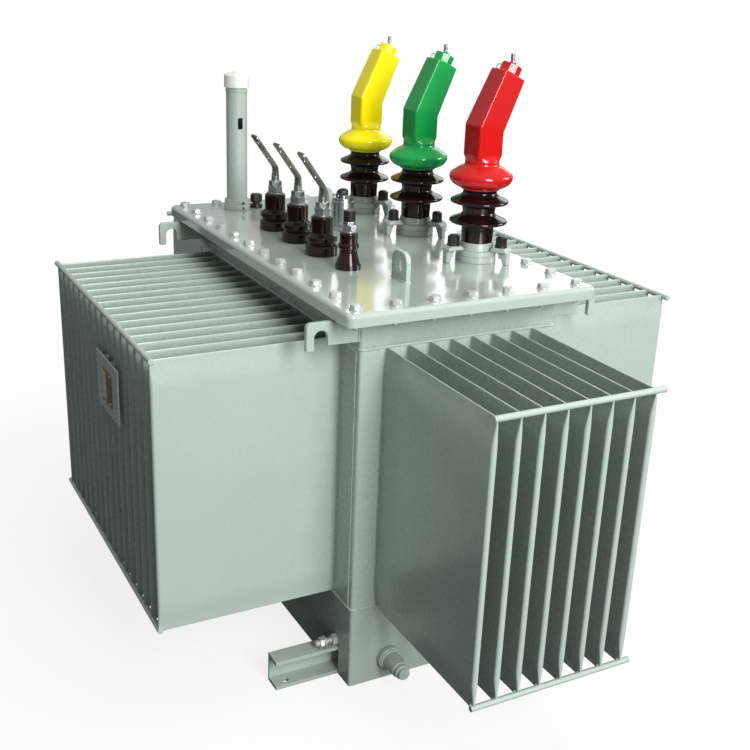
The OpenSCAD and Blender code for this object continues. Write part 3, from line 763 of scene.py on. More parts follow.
@dataclass(frozen=True)
class PaintFinish:
    """Sprayed enamel with a light orange peel, dust, painted shade in narrow gaps and corners, and edges that
    are rubbed a little.
    """

    name: str
    tone: str
    shade: str
    edge: str = "dfe8e3"
    dust: str = "a9a497"
    # Colour of the painted shade laid in narrow gaps and corners.
    crevice_shade_tone: str = "38433d"
    rough: Point = (0.24, 0.31)
    peel: float = 0.000005
    coat: float = 0.25
    coat_rough: float = 0.1
    cloud_share: float = 0.5
    rub_share: float = 0.35
    dust_share: float = 0.22
    dust_rough: float = 0.12
    # Share of the painted shade in narrow gaps and corners.
    crevice_shade_share: float = 0.28

    def material(self, effects: Effects) -> Material:
        """Builds the material.

        Args:
            effects: The shared shader groups.

        Returns:
            The material.
        """
        finish = Finish(self.name)
        wires = finish.wires
        mottle = effects.mottle.use(wires, Scale=5.0)
        edges = effects.edges.use(wires)
        dust = effects.dust.use(wires)["Mask"]
        grime = effects.grime.use(wires)["Mask"]
        skin = effects.skin.use(wires, Scale=260.0)
        tone = finish.layer(colour(self.tone), mottle["Clouds"], self.cloud_share, self.shade)
        tone = finish.layer(tone, edges["Mask"], self.rub_share, self.edge)
        tone = finish.layer(tone, dust, self.dust_share, self.dust)
        # Painted shade: darkens the enamel where ambient occlusion finds narrow gaps and corners.
        tone = finish.layer(tone, grime, self.crevice_shade_share, self.crevice_shade_tone)
        rough = wires.spread(mottle["Specks"], 0, 1, *self.rough)
        rough = wires.reckon("ADD", rough, wires.reckon("MULTIPLY", dust, self.dust_rough))
        normal = finish.bump(skin["Height"], self.peel, edges["Normal"])
        finish.set(Base_Color=tone, Roughness=rough, Normal=normal)
        finish.set(Coat_Weight=self.coat, Coat_Roughness=self.coat_rough)
        return finish.material


@dataclass(frozen=True)
class GlazeFinish:
    """Dark brown glaze on porcelain, thinner and redder on sharp edges."""

    name: str = "brown_glaze"
    tone: str = "150a0a"
    shade: str = "260f0d"
    edge: str = "4a2018"
    rough: Point = (0.06, 0.14)
    run: float = 0.00001
    edge_share: float = 0.5
    ior: float = 1.46

    def material(self, effects: Effects) -> Material:
        """Builds the material.

        Args:
            effects: The shared shader groups.

        Returns:
            The material.
        """
        finish = Finish(self.name)
        wires = finish.wires
        mottle = effects.mottle.use(wires, Scale=16.0)
        edges = effects.edges.use(wires, Radius=0.0025, Broken=30.0)
        skin = effects.skin.use(wires, Scale=110.0)
        tone = finish.layer(colour(self.tone), mottle["Clouds"], 1.0, self.shade)
        tone = finish.layer(tone, edges["Mask"], self.edge_share, self.edge)
        rough = wires.spread(mottle["Specks"], 0, 1, *self.rough)
        normal = finish.bump(skin["Height"], self.run)
        finish.set(Base_Color=tone, Roughness=rough, Normal=normal, IOR=self.ior)
        return finish.material


@dataclass(frozen=True)
class MouldFinish:
    """Moulded plastic or rubber with a fine skin and a painted highlight along its eased edges."""

    name: str
    tone: str
    shade: str
    # Tint of the painted highlight along the eased edges.
    edge: str
    rough: Point = (0.14, 0.2)
    skin: float = 0.000002
    coat: float = 0.15
    coat_rough: float = 0.08
    cloud_share: float = 0.6
    edge_share: float = 0.45

    def material(self, effects: Effects) -> Material:
        """Builds the material.

        Args:
            effects: The shared shader groups.

        Returns:
            The material.
        """
        finish = Finish(self.name)
        wires = finish.wires
        mottle = effects.mottle.use(wires, Scale=11.0)
        edges = effects.edges.use(wires, Radius=0.0016, Broken=45.0)
        skin = effects.skin.use(wires, Scale=420.0)
        tone = finish.layer(colour(self.tone), mottle["Clouds"], self.cloud_share, self.shade)
        # Painted highlight: lightens the eased edges towards a paler tint.
        tone = finish.layer(tone, edges["Mask"], self.edge_share, self.edge)
        rough = wires.spread(mottle["Specks"], 0, 1, *self.rough)
        normal = finish.bump(skin["Height"], self.skin, edges["Normal"])
        finish.set(Base_Color=tone, Roughness=rough, Normal=normal)
        finish.set(Coat_Weight=self.coat, Coat_Roughness=self.coat_rough)
        return finish.material


@dataclass(frozen=True)
class MetalFinish:
    """Bare or plated metal with turning lines and duller patches."""

    name: str
    tone: str
    shade: str
    rough: Point = (0.2, 0.4)
    depth: float = 0.00003
    metallic: float = 1.0
    edge: str = "eceeee"
    edge_share: float = 0.6

    def material(self, effects: Effects) -> Material:
        """Builds the material.

        Args:
            effects: The shared shader groups.

        Returns:
            The material.
        """
        finish = Finish(self.name)
        wires = finish.wires
        mottle = effects.mottle.use(wires, Scale=26.0)
        edges = effects.edges.use(wires, Radius=0.0008, Broken=80.0)
        lines = effects.grain.use(wires)["Lines"]
        tone = finish.layer(colour(self.tone), mottle["Clouds"], 1.0, self.shade)
        tone = finish.layer(tone, edges["Mask"], self.edge_share, self.edge)
        rough = wires.spread(lines, 0.3, 0.7, *self.rough)
        normal = finish.bump(lines, self.depth, edges["Normal"])
        finish.set(Base_Color=tone, Roughness=rough, Normal=normal, Metallic=self.metallic)
        return finish.material


class Palette:
    """Every finish on the object, made once."""

    def __init__(self) -> None:
        """Builds the materials."""
        effects = Effects()
        cover = PaintFinish("cover_enamel", "b4c2bb", "acbab3", rough=(0.12, 0.2), peel=0.000002, coat=1.0)
        cast = PaintFinish("cast_enamel", "b0bcb6", "a5b1ab", edge="e4ebe7", rough=(0.26, 0.4))
        zinc = MetalFinish("zinc_bolts", "d9dcdb", "c2c7c5", (0.34, 0.5), metallic=0.5)
        dull = MetalFinish("dull_zinc", "d3d6d4", "b4b9b7", (0.42, 0.6), metallic=0.7)
        # The fourth colour of each moulding is the painted highlight along its edges.
        white = MouldFinish("white_cap", "eceeea", "e0e3de", "ffffff", (0.35, 0.5), coat=0.1)
        black = MouldFinish("black_plastic", "17181a", "101113", "4c4f52", (0.3, 0.45), coat=0.1)
        plate = MetalFinish("bare_plate", "93806a", "7f6d59", (0.32, 0.5), 0.00002, 0.55)
        glass = MouldFinish("gauge_glass", "121d1b", "0d1614", "41524e", (0.04, 0.1), 0.00001)
        self.paint = PaintFinish("tank_enamel", *ENAMEL).material(effects)
        # The rim band gets the enamel with a heavy painted shade, a painted shadow of the cover's overhang.
        self.rim = PaintFinish("rim_enamel", *ENAMEL, crevice_shade_share=0.85).material(effects)
        self.cover = cover.material(effects)
        self.cast = cast.material(effects)
        self.glaze = GlazeFinish().material(effects)
        self.metal = MetalFinish("plated_steel", "c9ccce", "a9adb0").material(effects)
        self.zinc = zinc.material(effects)
        self.dull = dull.material(effects)
        self.palm = MetalFinish("tinned_copper", "a5a19b", "7d7973", (0.22, 0.4)).material(effects)
        # The boots' paler fourth colours are the painted highlight along their edges.
        self.yellow = MouldFinish("yellow_boot", "fff000", "fbe400", "fff78a").material(effects)
        self.green = MouldFinish("green_boot", "10a04a", "0c9042", "66d092").material(effects)
        self.red = MouldFinish("red_boot", "c81715", "b81212", "f27a72").material(effects)
        self.white = white.material(effects)
        self.black = black.material(effects)
        self.plate = plate.material(effects)
        self.pale = MouldFinish("pale_panel", "d6ccb9", "c9bda8", "efe9dc", (0.3, 0.45)).material(effects)
        self.glass = glass.material(effects)

    def boot(self, slot: Slot) -> Material:
        """Gives the finish of a coloured boot."""
        return {Slot.YELLOW: self.yellow, Slot.GREEN: self.green, Slot.RED: self.red}[slot]


class Growth:
    """A geometry node tree with named inputs that is grown on a carrier mesh."""

    def __init__(self, name: str, inputs: dict[str, Kind]) -> None:
        """Makes and wires the tree.

        Args:
            name: Name of the tree.
            inputs: Name and kind of each input beside the carrier.
        """
        self.tree = bpy.data.node_groups.new(name, "GeometryNodeTree")
        sockets = self.tree.interface
        for key, kind in {"Carrier": Kind.GEOMETRY, **inputs, "Finish": Kind.FINISH}.items():
            sockets.new_socket(key, in_out="INPUT", socket_type=kind.value)
        sockets.new_socket("Result", in_out="OUTPUT", socket_type=Kind.GEOMETRY.value)
        self.wires = Wiring(self.tree)
        self.source = self.wires.add("NodeGroupInput").outputs
        self.build()

    def build(self) -> None:
        """Wires the tree; each kind of growth has its own way."""
        raise NotImplementedError

    def part(self) -> Socket:
        """Gives the mesh of the part that is copied."""
        return self.wires.add("GeometryNodeObjectInfo", {"Object": self.source["Part"]}).outputs["Geometry"]

    def end(self, geometry: Socket) -> None:
        """Makes the result real, gives it its finish and hands it out.

        Args:
            geometry: The result, which may hold instances.
        """
        real = self.wires.add("GeometryNodeRealizeInstances", {0: geometry}).outputs[0]
        inputs = {"Geometry": real, "Material": self.source["Finish"]}
        done = self.wires.add("GeometryNodeSetMaterial", inputs).outputs[0]
        self.wires.add("NodeGroupOutput", {0: done})

    def grow(self, carrier: Object, **values: object) -> Object:
        """Grows the tree on a carrier and keeps the result as its plain mesh.

        Args:
            carrier: Object that the tree works on.
            values: Values of the named inputs.

        Returns:
            The carrier.
        """
        modifier = carrier.modifiers.new(self.tree.name, "NODES")
        modifier.node_group = self.tree
        for item in self.tree.interface.items_tree:
            if item.in_out == "INPUT" and item.name in values:
                modifier[item.identifier] = values[item.name]
        settle(carrier)
        return carrier


class RowGrowth(Growth):
    """Sets copies of a part in a row across the carrier."""

    def __init__(self) -> None:
        """Names the inputs."""
        super().__init__("row", {"Part": Kind.OBJECT, "Count": Kind.COUNT, "Pitch": Kind.VALUE})

    def build(self) -> None:
        """Lays a line of points, sets the part on each and joins the carrier."""
        wires, count, pitch = self.wires, self.source["Count"], self.source["Pitch"]
        row = wires.reckon("MULTIPLY", wires.reckon("SUBTRACT", count, 1.0), pitch)
        first = wires.add("ShaderNodeCombineXYZ", {0: wires.reckon("MULTIPLY", row, -0.5)}).outputs[0]
        step = wires.add("ShaderNodeCombineXYZ", {0: pitch}).outputs[0]
        inputs = {"Count": count, "Start Location": first, "Offset": step}
        line = wires.add("GeometryNodeMeshLine", inputs).outputs[0]
        copies = wires.add("GeometryNodeInstanceOnPoints", {"Points": line, "Instance": self.part()})
        join = wires.add("GeometryNodeJoinGeometry", {0: copies.outputs[0]})
        wires.feed(join.inputs[0], self.source["Carrier"])
        self.end(join.outputs[0])


class ScatterGrowth(Growth):
    """Sets copies of a part on the carrier's points, each turned and sized a little at random."""

    def __init__(self) -> None:
        """Names the inputs."""
        inputs = {"Part": Kind.OBJECT, "Turn": Kind.VALUE, "Spread": Kind.VALUE, "Seed": Kind.COUNT}
        super().__init__("scatter", inputs)

    def draw(self, least: float | Socket, most: float | Socket) -> Socket:
        """Draws a random value for each point."""
        inputs = {2: least, 3: most, "Seed": self.source["Seed"]}
        return self.wires.add("FunctionNodeRandomValue", inputs, data_type="FLOAT").outputs[1]

    def build(self) -> None:
        """Sets the part on the points with a turn about its own axis."""
        wires, spread = self.wires, self.source["Spread"]
        turn = self.draw(0.0, self.source["Turn"])
        euler = wires.add("ShaderNodeCombineXYZ", {2: turn}).outputs[0]
        rotation = wires.add("FunctionNodeEulerToRotation", {0: euler}).outputs[0]
        size = self.draw(wires.reckon("SUBTRACT", 1.0, spread), wires.reckon("ADD", 1.0, spread))
        inputs = {"Points": self.source["Carrier"], "Instance": self.part()}
        inputs.update({"Rotation": rotation, "Scale": size})
        self.end(wires.add("GeometryNodeInstanceOnPoints", inputs).outputs[0])


class BeadGrowth(Growth):
    """Sweeps a rippled weld bead along the carrier's edges."""

    def __init__(self) -> None:
        """Names the inputs."""
        names = ("Radius", "Step", "Ripple", "Seed")
        super().__init__("bead", {name: Kind.VALUE for name in names})

    def build(self) -> None:
        """Cuts the path into short steps and swells the bead at random on each."""
        wires, source = self.wires, self.source
        path = wires.add("GeometryNodeMeshToCurve", {0: source["Carrier"]}).outputs[0]
        inputs = {"Curve": path, "Length": source["Step"]}
        path = wires.add("GeometryNodeResampleCurve", inputs, mode="LENGTH").outputs[0]
        inputs = {"W": source["Seed"], "Scale": 140.0, "Detail": 2.0}
        swell = wires.add("ShaderNodeTexNoise", inputs, noise_dimensions="4D").outputs["Fac"]
        swell = wires.reckon("MULTIPLY", wires.reckon("SUBTRACT", swell, 0.5), source["Ripple"])
        inputs = {"Resolution": 8, "Radius": source["Radius"]}
        section = wires.add("GeometryNodeCurvePrimitiveCircle", inputs).outputs[0]
        size = wires.reckon("ADD", swell, 1.0)
        inputs = {"Curve": path, "Profile Curve": section, "Scale": size, "Fill Caps": True}
        skin = wires.add("GeometryNodeCurveToMesh", inputs).outputs[0]
        inputs = {"Geometry": skin, "Shade Smooth": True}
        self.end(wires.add("GeometryNodeSetShadeSmooth", inputs).outputs[0])


class Workshop:
    """What every sub-assembly needs: the finishes and the growth trees."""

    bead_step = 3
    bead_ripple = 0.9

    def __init__(self) -> None:
        """Makes the finishes and the trees once."""
        self.palette = Palette()
        self.row = RowGrowth()
        self.scatter = ScatterGrowth()
        self.bead = BeadGrowth()

    def strew(
        self,
        name: str,
        part: Shells,
        spots: Sequence[Vector],
        finish: Material,
        slot: Slot,
        **values: object,
    ) -> Object:
        """Sets a part on many spots as one piece.

        Args:
            name: Name of the piece.
            part: The part, at the origin.
            spots: Where the copies go.
            finish: Material of the copies.
            slot: Slot of the record.
            values: Turn and spread of the copies and their seed.

        Returns:
            The piece.
        """
        stamp = part.mesh_object(name + "_one")
        weigh_normals(stamp)
        mesh = bpy.data.meshes.new(name)
        mesh.from_pydata([spot * MM for spot in spots], [], [])
        carrier = link(name, mesh)
        settings = {"Turn": 0.0, "Spread": 0.0, "Seed": 1, **values}
        self.scatter.grow(carrier, Part=stamp, Finish=finish, **settings)
        bpy.data.objects.remove(stamp)
        return dress(carrier, finish, slot)

    def weld(
        self, name: str, paths: Sequence[Sequence[Vector]], closed: bool, radius: float, seed: float
    ) -> Object:
        """Runs weld beads along paths as one painted piece.

        Args:
            name: Name of the piece.
            paths: Points of each path.
            closed: Whether each path returns to its start.
            radius: Radius of the bead.
            seed: Seed of its ripple.

        Returns:
            The piece.
        """
        verts: list[Vector] = []
        edges: list[tuple[int, int]] = []
        for path in paths:
            start, count = len(verts), len(path)
            verts += [spot * MM for spot in path]
            edges += [(start + i, start + (i + 1) % count) for i in range(count if closed else count - 1)]
        mesh = bpy.data.meshes.new(name)
        mesh.from_pydata(verts, edges, [])
        carrier = link(name, mesh)
        sizes = {"Radius": radius * MM, "Step": self.bead_step * MM, "Ripple": self.bead_ripple}
        self.bead.grow(carrier, Seed=seed, Finish=self.palette.paint, **sizes)
        return dress(carrier, self.palette.paint, Slot.PAINT)


@dataclass
class SubAssembly:
    """A sub-assembly, which makes its own meshes and dresses them."""

    shop: Workshop

    @property
    def finishes(self) -> Palette:
        """The finishes of the workshop."""
        return self.shop.palette

    def build(self) -> None:
        """Makes every piece; each sub-assembly has its own way."""
        raise NotImplementedError


@dataclass
class Tank(SubAssembly):
    """The plain painted plates of the tank, with the seams between them."""

    corner_r: float = 6
    seam_in: float = 15
    seam_r: float = 2.8
    upright_r: float = 1.96
    rim_node: str = "tank_rim"
    plain_nodes: tuple[str, ...] = (
        "lower_tank", "corner_posts", "front_base_channel", "rear_base_channel", "nameplate_bracket",
    )

    def build(self) -> None:
        """Paints the plates and welds them."""
        for name in self.plain_nodes:
            self.paint(name, self.finishes.paint)
        # The rim band under the cover takes the enamel with the heavy painted shade of the overhang.
        self.paint(self.rim_node, self.finishes.rim)
        levels = (FIN_FOOT, FIN_FOOT + FIN_HEIGHT)
        outline = rounded_rectangle(TANK_HALF_L, TANK_HALF_W, self.corner_r, 4)
        rings = [[Vector((x, y, z)) for x, y in outline] for z in levels]
        self.shop.weld("tank_seams", rings, True, self.seam_r, 2.0)
        x, y = TANK_HALF_L - self.seam_in, TANK_HALF_W
        corners = [(sx * x, sy * y) for sx in (-1, 1) for sy in (-1, 1)]
        uprights = [[Vector((x, y, z)) for z in levels] for x, y in corners]
        self.shop.weld("corner_seams", uprights, False, self.upright_r, 5.0)

    def paint(self, name: str, finish: Material) -> None:
        """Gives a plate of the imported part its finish.

        Args:
            name: Node of the plate.
            finish: Its material.
        """
        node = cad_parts[name]
        node.data.materials.clear()
        node.data.materials.append(finish)
        LOG.info("%s: painted", name)


@dataclass
class FinBank(SubAssembly):
    """A corrugated wall: its panel, pressed fins and the bars that tie them."""

    name: str
    count: int
    wall: float
    turn: float
    reach_side: int
    height: float = FIN_HEIGHT
    depth: float = 356
    pitch: float = 45
    thick: float = 12
    edge: float = 3
    seam: float = 4
    pinch: float = 50
    round_share: float = 0.55
    end_ease: float = 0.7
    levels: tuple[float, ...] = (0, 1, 4, 9, 15, 22, 29, 36, 43, 50, 58)
    fillet: float = 5
    root: float = 2
    margin: float = 6
    plate: float = 5
    bar_r: float = 5.5
    bar_reach: float = 14
    dab_side: float = 2.2
    dab_back: float = 4.6
    dab_in: float = 2.55
    dab: tuple[Point, ...] = ((0, -3), (1.7, -2.6), (2.9, -1.2), (3.1, 0), (2.6, 1.6), (1.5, 2.7), (0, 3))

    def place(self) -> Matrix:
        """Gives the place of the wall's outer face."""
        return turned("Z", self.turn) @ moved(0, -self.wall, FIN_FOOT)

    def half_thick(self, z: float) -> float:
        """Gives half the thickness of a fin.

        Args:
            z: Height above its foot.

        Returns:
            Half the thickness there, least at both ends.
        """
        share = ramp(min(z, self.height - z), self.seam, self.pinch)
        swell = (1 - self.round_share) * share + self.round_share * swing(share)
        return self.edge / 2 + (self.thick - self.edge) / 2 * swell

    def fin(self) -> Shells:
        """Lofts one fin that stands out along -Y, with a fillet at its root and a round nose.

        Returns:
            The fin's shell.
        """
        quarters = (0.25, 0.5, 0.75)
        heights = [*self.levels, *(self.height * q for q in quarters)]
        heights += [self.height - z for z in reversed(self.levels)]
        rings: list[list[Vector]] = []
        for z in heights:
            t = self.half_thick(z)
            if z in (0, self.height):
                t -= self.end_ease
            nose, outer = self.depth - t, -t - self.fillet
            side = [(outer, self.root), *arc(outer, -self.fillet, self.fillet, 90, 0, 4)]
            side += [(-t, -nose * q) for q in quarters]
            outline = side + arc(0, -nose, t, 180, 360, 10) + [(-x, y) for x, y in reversed(side)]
            rings.append([Vector((x, y, z)) for x, y in outline])
        shells = Shells()
        shells.rings(rings)
        return shells

    def build(self) -> None:
        """Makes the wall, its bars and the weld dabs on them."""
        half = (self.count - 1) / 2 * self.pitch + self.thick / 2 + self.margin
        outline = [(-half, 0), (half, 0), (half, self.height), (-half, self.height)]
        panel = Shells()
        panel.plate(outline, self.plate, moved(0, self.plate / 2, 0) @ turned("X", 90), edge=0.5)
        wall = panel.mesh_object(self.name + "_corrugated_wall")
        fin = self.fin().mesh_object(self.name + "_fin", 50)
        weigh_normals(fin)
        paint = self.finishes.paint
        self.shop.row.grow(wall, Part=fin, Count=self.count, Pitch=self.pitch * MM, Finish=paint)
        bpy.data.objects.remove(fin)
        to_metres = self.place()
        to_metres.translation *= MM
        wall.data.transform(to_metres)
        dress(wall, paint, Slot.PAINT, self.name + "_fin_wall")
        self.bars()

    def bars(self) -> None:
        """Makes the two tie bars and a dab of weld where each fin meets them."""
        row = (self.count - 1) * self.pitch + self.thick
        line = self.depth - self.bar_r / 2
        start = -row / 2 - (self.bar_reach if self.reach_side < 0 else 0)
        bars, spots = Shells(), []
        for z, inside in ((self.bar_r / 2, 1), (self.height - self.bar_r / 2, -1)):
            end = self.place() @ moved(start, -line, z) @ turned("Y", 90)
            bars.disc(self.bar_r, 0, row + self.bar_reach, 1.2, end, 24)
            y, up = self.dab_back - line, z + inside * self.dab_in
            for k in range(self.count):
                x = (k - (self.count - 1) / 2) * self.pitch
                spots += [self.place() @ Vector((x + s * self.dab_side, y, up)) for s in (-1, 1)]
        paint = self.finishes.paint
        bars.piece(self.name + "_tie_bars", paint, Slot.PAINT, self.name + "_fin_bars")
        dab = Shells()
        dab.lathe(self.dab, sides=12)
        self.shop.strew(
            self.name + "_bar_welds", dab, spots, paint, Slot.PAINT, Turn=6.2, Spread=0.25, Seed=7
        )


@dataclass(frozen=True)
class CoverBolt:
    """A bolt through the cover and the flange, with its washers, nut and threaded tip."""

    grip: float = 18
    washer_r: float = 12
    washer_t: float = 2.2
    across: float = 19
    head_h: float = 7.5
    crown: tuple[Point, ...] = ((0, 9), (7, 9), (5.5, 10.3), (0, 10.5))
    under_r: float = 11
    under_t: float = 2
    nut_h: float = 9
    thread_r: float = 6
    thread_h: float = 8
    tip: float = 18

    def shells(self) -> Shells:
        """Makes the bolt on the cover's top, with its axis upright.

        Returns:
            The bolt's shells.
        """
        low = -self.grip
        bolt = Shells()
        bolt.disc(self.washer_r, 0, self.washer_t, 0.6, sides=32)
        bolt.nut(self.across, self.head_h, moved(0, 0, self.washer_t))
        bolt.lathe(eased(self.crown, 0.4), sides=24)
        bolt.disc(self.under_r, low - self.under_t, low, 0.5, sides=32)
        bolt.nut(self.across, self.nut_h, moved(0, 0, low - self.under_t - self.nut_h))
        bolt.thread(self.thread_r, self.thread_h, moved(0, 0, low - self.tip))
        return bolt


@dataclass
class Cover(SubAssembly):
    """The cover with its bent lip, bolts, lifting lugs and the hooks below it."""

    half_l: float = 480
    half_w: float = 264
    plate: float = 8
    lip: float = 24
    lip_t: float = 6
    lip_ease: float = 0.8
    bend_r: float = 8
    corner_r: float = 14
    bolt: CoverBolt = CoverBolt()
    bolt_x: float = 451
    bolt_y: float = 235
    bolts_long: int = 12
    bolts_short: int = 7
    lug_x: float = 306
    lug_y: float = 67
    lug_t: float = 10
    lug_half: float = 28.5
    lug_h: float = 56
    lug_r: float = 20
    lug_edge: float = 1.2
    eye_r: float = 12.5
    eye_z: float = 27
    hook_x: float = 414
    hook_z: float = 722
    hook_h: float = 44
    hook_reach: float = 102
    hook_drop: float = 8
    hook_round: float = 10
    notch_near: float = 61
    notch_r: float = 13
    notch_rise: float = 16
    weld_r: float = 2.4

    def build(self) -> None:
        """Makes every piece of the cover."""
        self.pressing()
        self.bolts()
        self.lugs()
        self.hooks()

    def ring(self, inset: float, z: float) -> list[Vector]:
        """Gives the cover's outline at an inset and a height."""
        r = max(self.corner_r - inset, self.lip_ease)
        return [Vector((x, y, z)) for x, y in rounded_rectangle(self.half_l - inset, self.half_w - inset, r)]

    def pressing(self) -> None:
        """Makes the plate and its lip."""
        low, under, inner, ease = COVER_TOP - self.lip, COVER_TOP - self.plate, self.lip_t, self.lip_ease
        section = [
            (inner + 20, under), (inner + 1, under), (inner, under - 1), (inner, low + ease),
            (inner - ease, low), (ease, low), (0, low + ease),
            *arc(self.bend_r, COVER_TOP - self.bend_r, self.bend_r, 180, 90, 8),
            (self.bend_r + 12, COVER_TOP),
        ]
        shells = Shells()
        shells.rings([self.ring(inset, z) for inset, z in section])
        shells.piece("pressed_cover", self.finishes.cover, Slot.PAINT, "cover", sharp=40)

    def bolts(self) -> None:
        """Sets the bolts round the edge, each corner once."""
        long, short = self.bolts_long - 1, self.bolts_short - 1
        xs = [self.bolt_x * (2 * k / long - 1) for k in range(long + 1)]
        ys = [self.bolt_y * (2 * k / short - 1) for k in range(1, short)]
        spots = [Vector((x, s * self.bolt_y, COVER_TOP)) for x in xs for s in (-1, 1)]
        spots += [Vector((s * self.bolt_x, y, COVER_TOP)) for y in ys for s in (-1, 1)]
        bolt = self.bolt.shells()
        self.shop.strew("cover_bolts", bolt, spots, self.finishes.zinc, Slot.METAL, Turn=1.05, Seed=4)

    def lugs(self) -> None:
        """Makes the two lifting lugs and their foot welds."""
        half, r, high = self.lug_half, self.lug_r, self.lug_h - self.lug_r
        shoulders = arc(half - r, high, r, 0, 90, 12) + arc(r - half, high, r, 90, 180, 12)
        outline = [(-half, 0), (half, 0), *shoulders]
        eye = round_hole(0, self.eye_z, self.eye_r)
        foot = rounded_rectangle(half, self.lug_t / 2, 2, 3)
        shells, paths = Shells(), []
        for s in (-1, 1):
            place = moved(s * self.lug_x, -s * self.lug_y, COVER_TOP)
            shells.plate(outline, self.lug_t, place @ turned("X", 90), [eye], self.lug_edge)
            paths.append([place @ Vector((x, y, 0.4)) for x, y in foot])
        shells.piece("lifting_lugs", self.finishes.paint, Slot.PAINT, "cover_lugs", sharp=50)
        self.shop.weld("lug_welds", paths, True, self.weld_r, 9.0)

    def hook_outline(self) -> list[Point]:
        """Gives a hook's side view, out from the wall and up from its lower edge.

        Returns:
            The outline, anticlockwise.
        """
        near, r, rise, drop = self.notch_near, self.notch_r, self.notch_rise, self.hook_drop
        far, reach, nose, high = near + 2 * r, self.hook_reach, self.hook_round, self.hook_h
        outline = eased([(0, 0), (near, 0), (near, rise)], 2)[:-1] + arc(near + r, rise, r, 180, 0, 16)
        outline += eased([(far, rise), (far, -drop), (reach, -drop), (reach, high - nose)], 3)[1:-1]
        return outline + arc(reach - nose, high - nose, nose, 0, 90, 8) + [(0, high)]

    def hooks(self) -> None:
        """Makes the four hooks under the cover's corners."""
        outline = self.hook_outline()
        shells, paths = Shells(), []
        for end, side in ((-1, -1), (-1, 1), (1, -1), (1, 1)):
            place = moved(end * self.hook_x, side * TANK_HALF_W, self.hook_z)
            upright = place @ turned("Z", side * 90) @ turned("X", 90)
            shells.plate(outline, self.lug_t, upright, edge=self.lug_edge)
            for s in (-1, 1):
                line = [Vector((s * self.lug_t / 2, side * 0.3, z)) for z in (1, self.hook_h - 1)]
                paths.append([place @ spot for spot in line])
        shells.piece("corner_hooks", self.finishes.paint, Slot.PAINT, "lifting_hooks", sharp=50)
        self.shop.weld("hook_welds", paths, False, self.weld_r, 3.0)


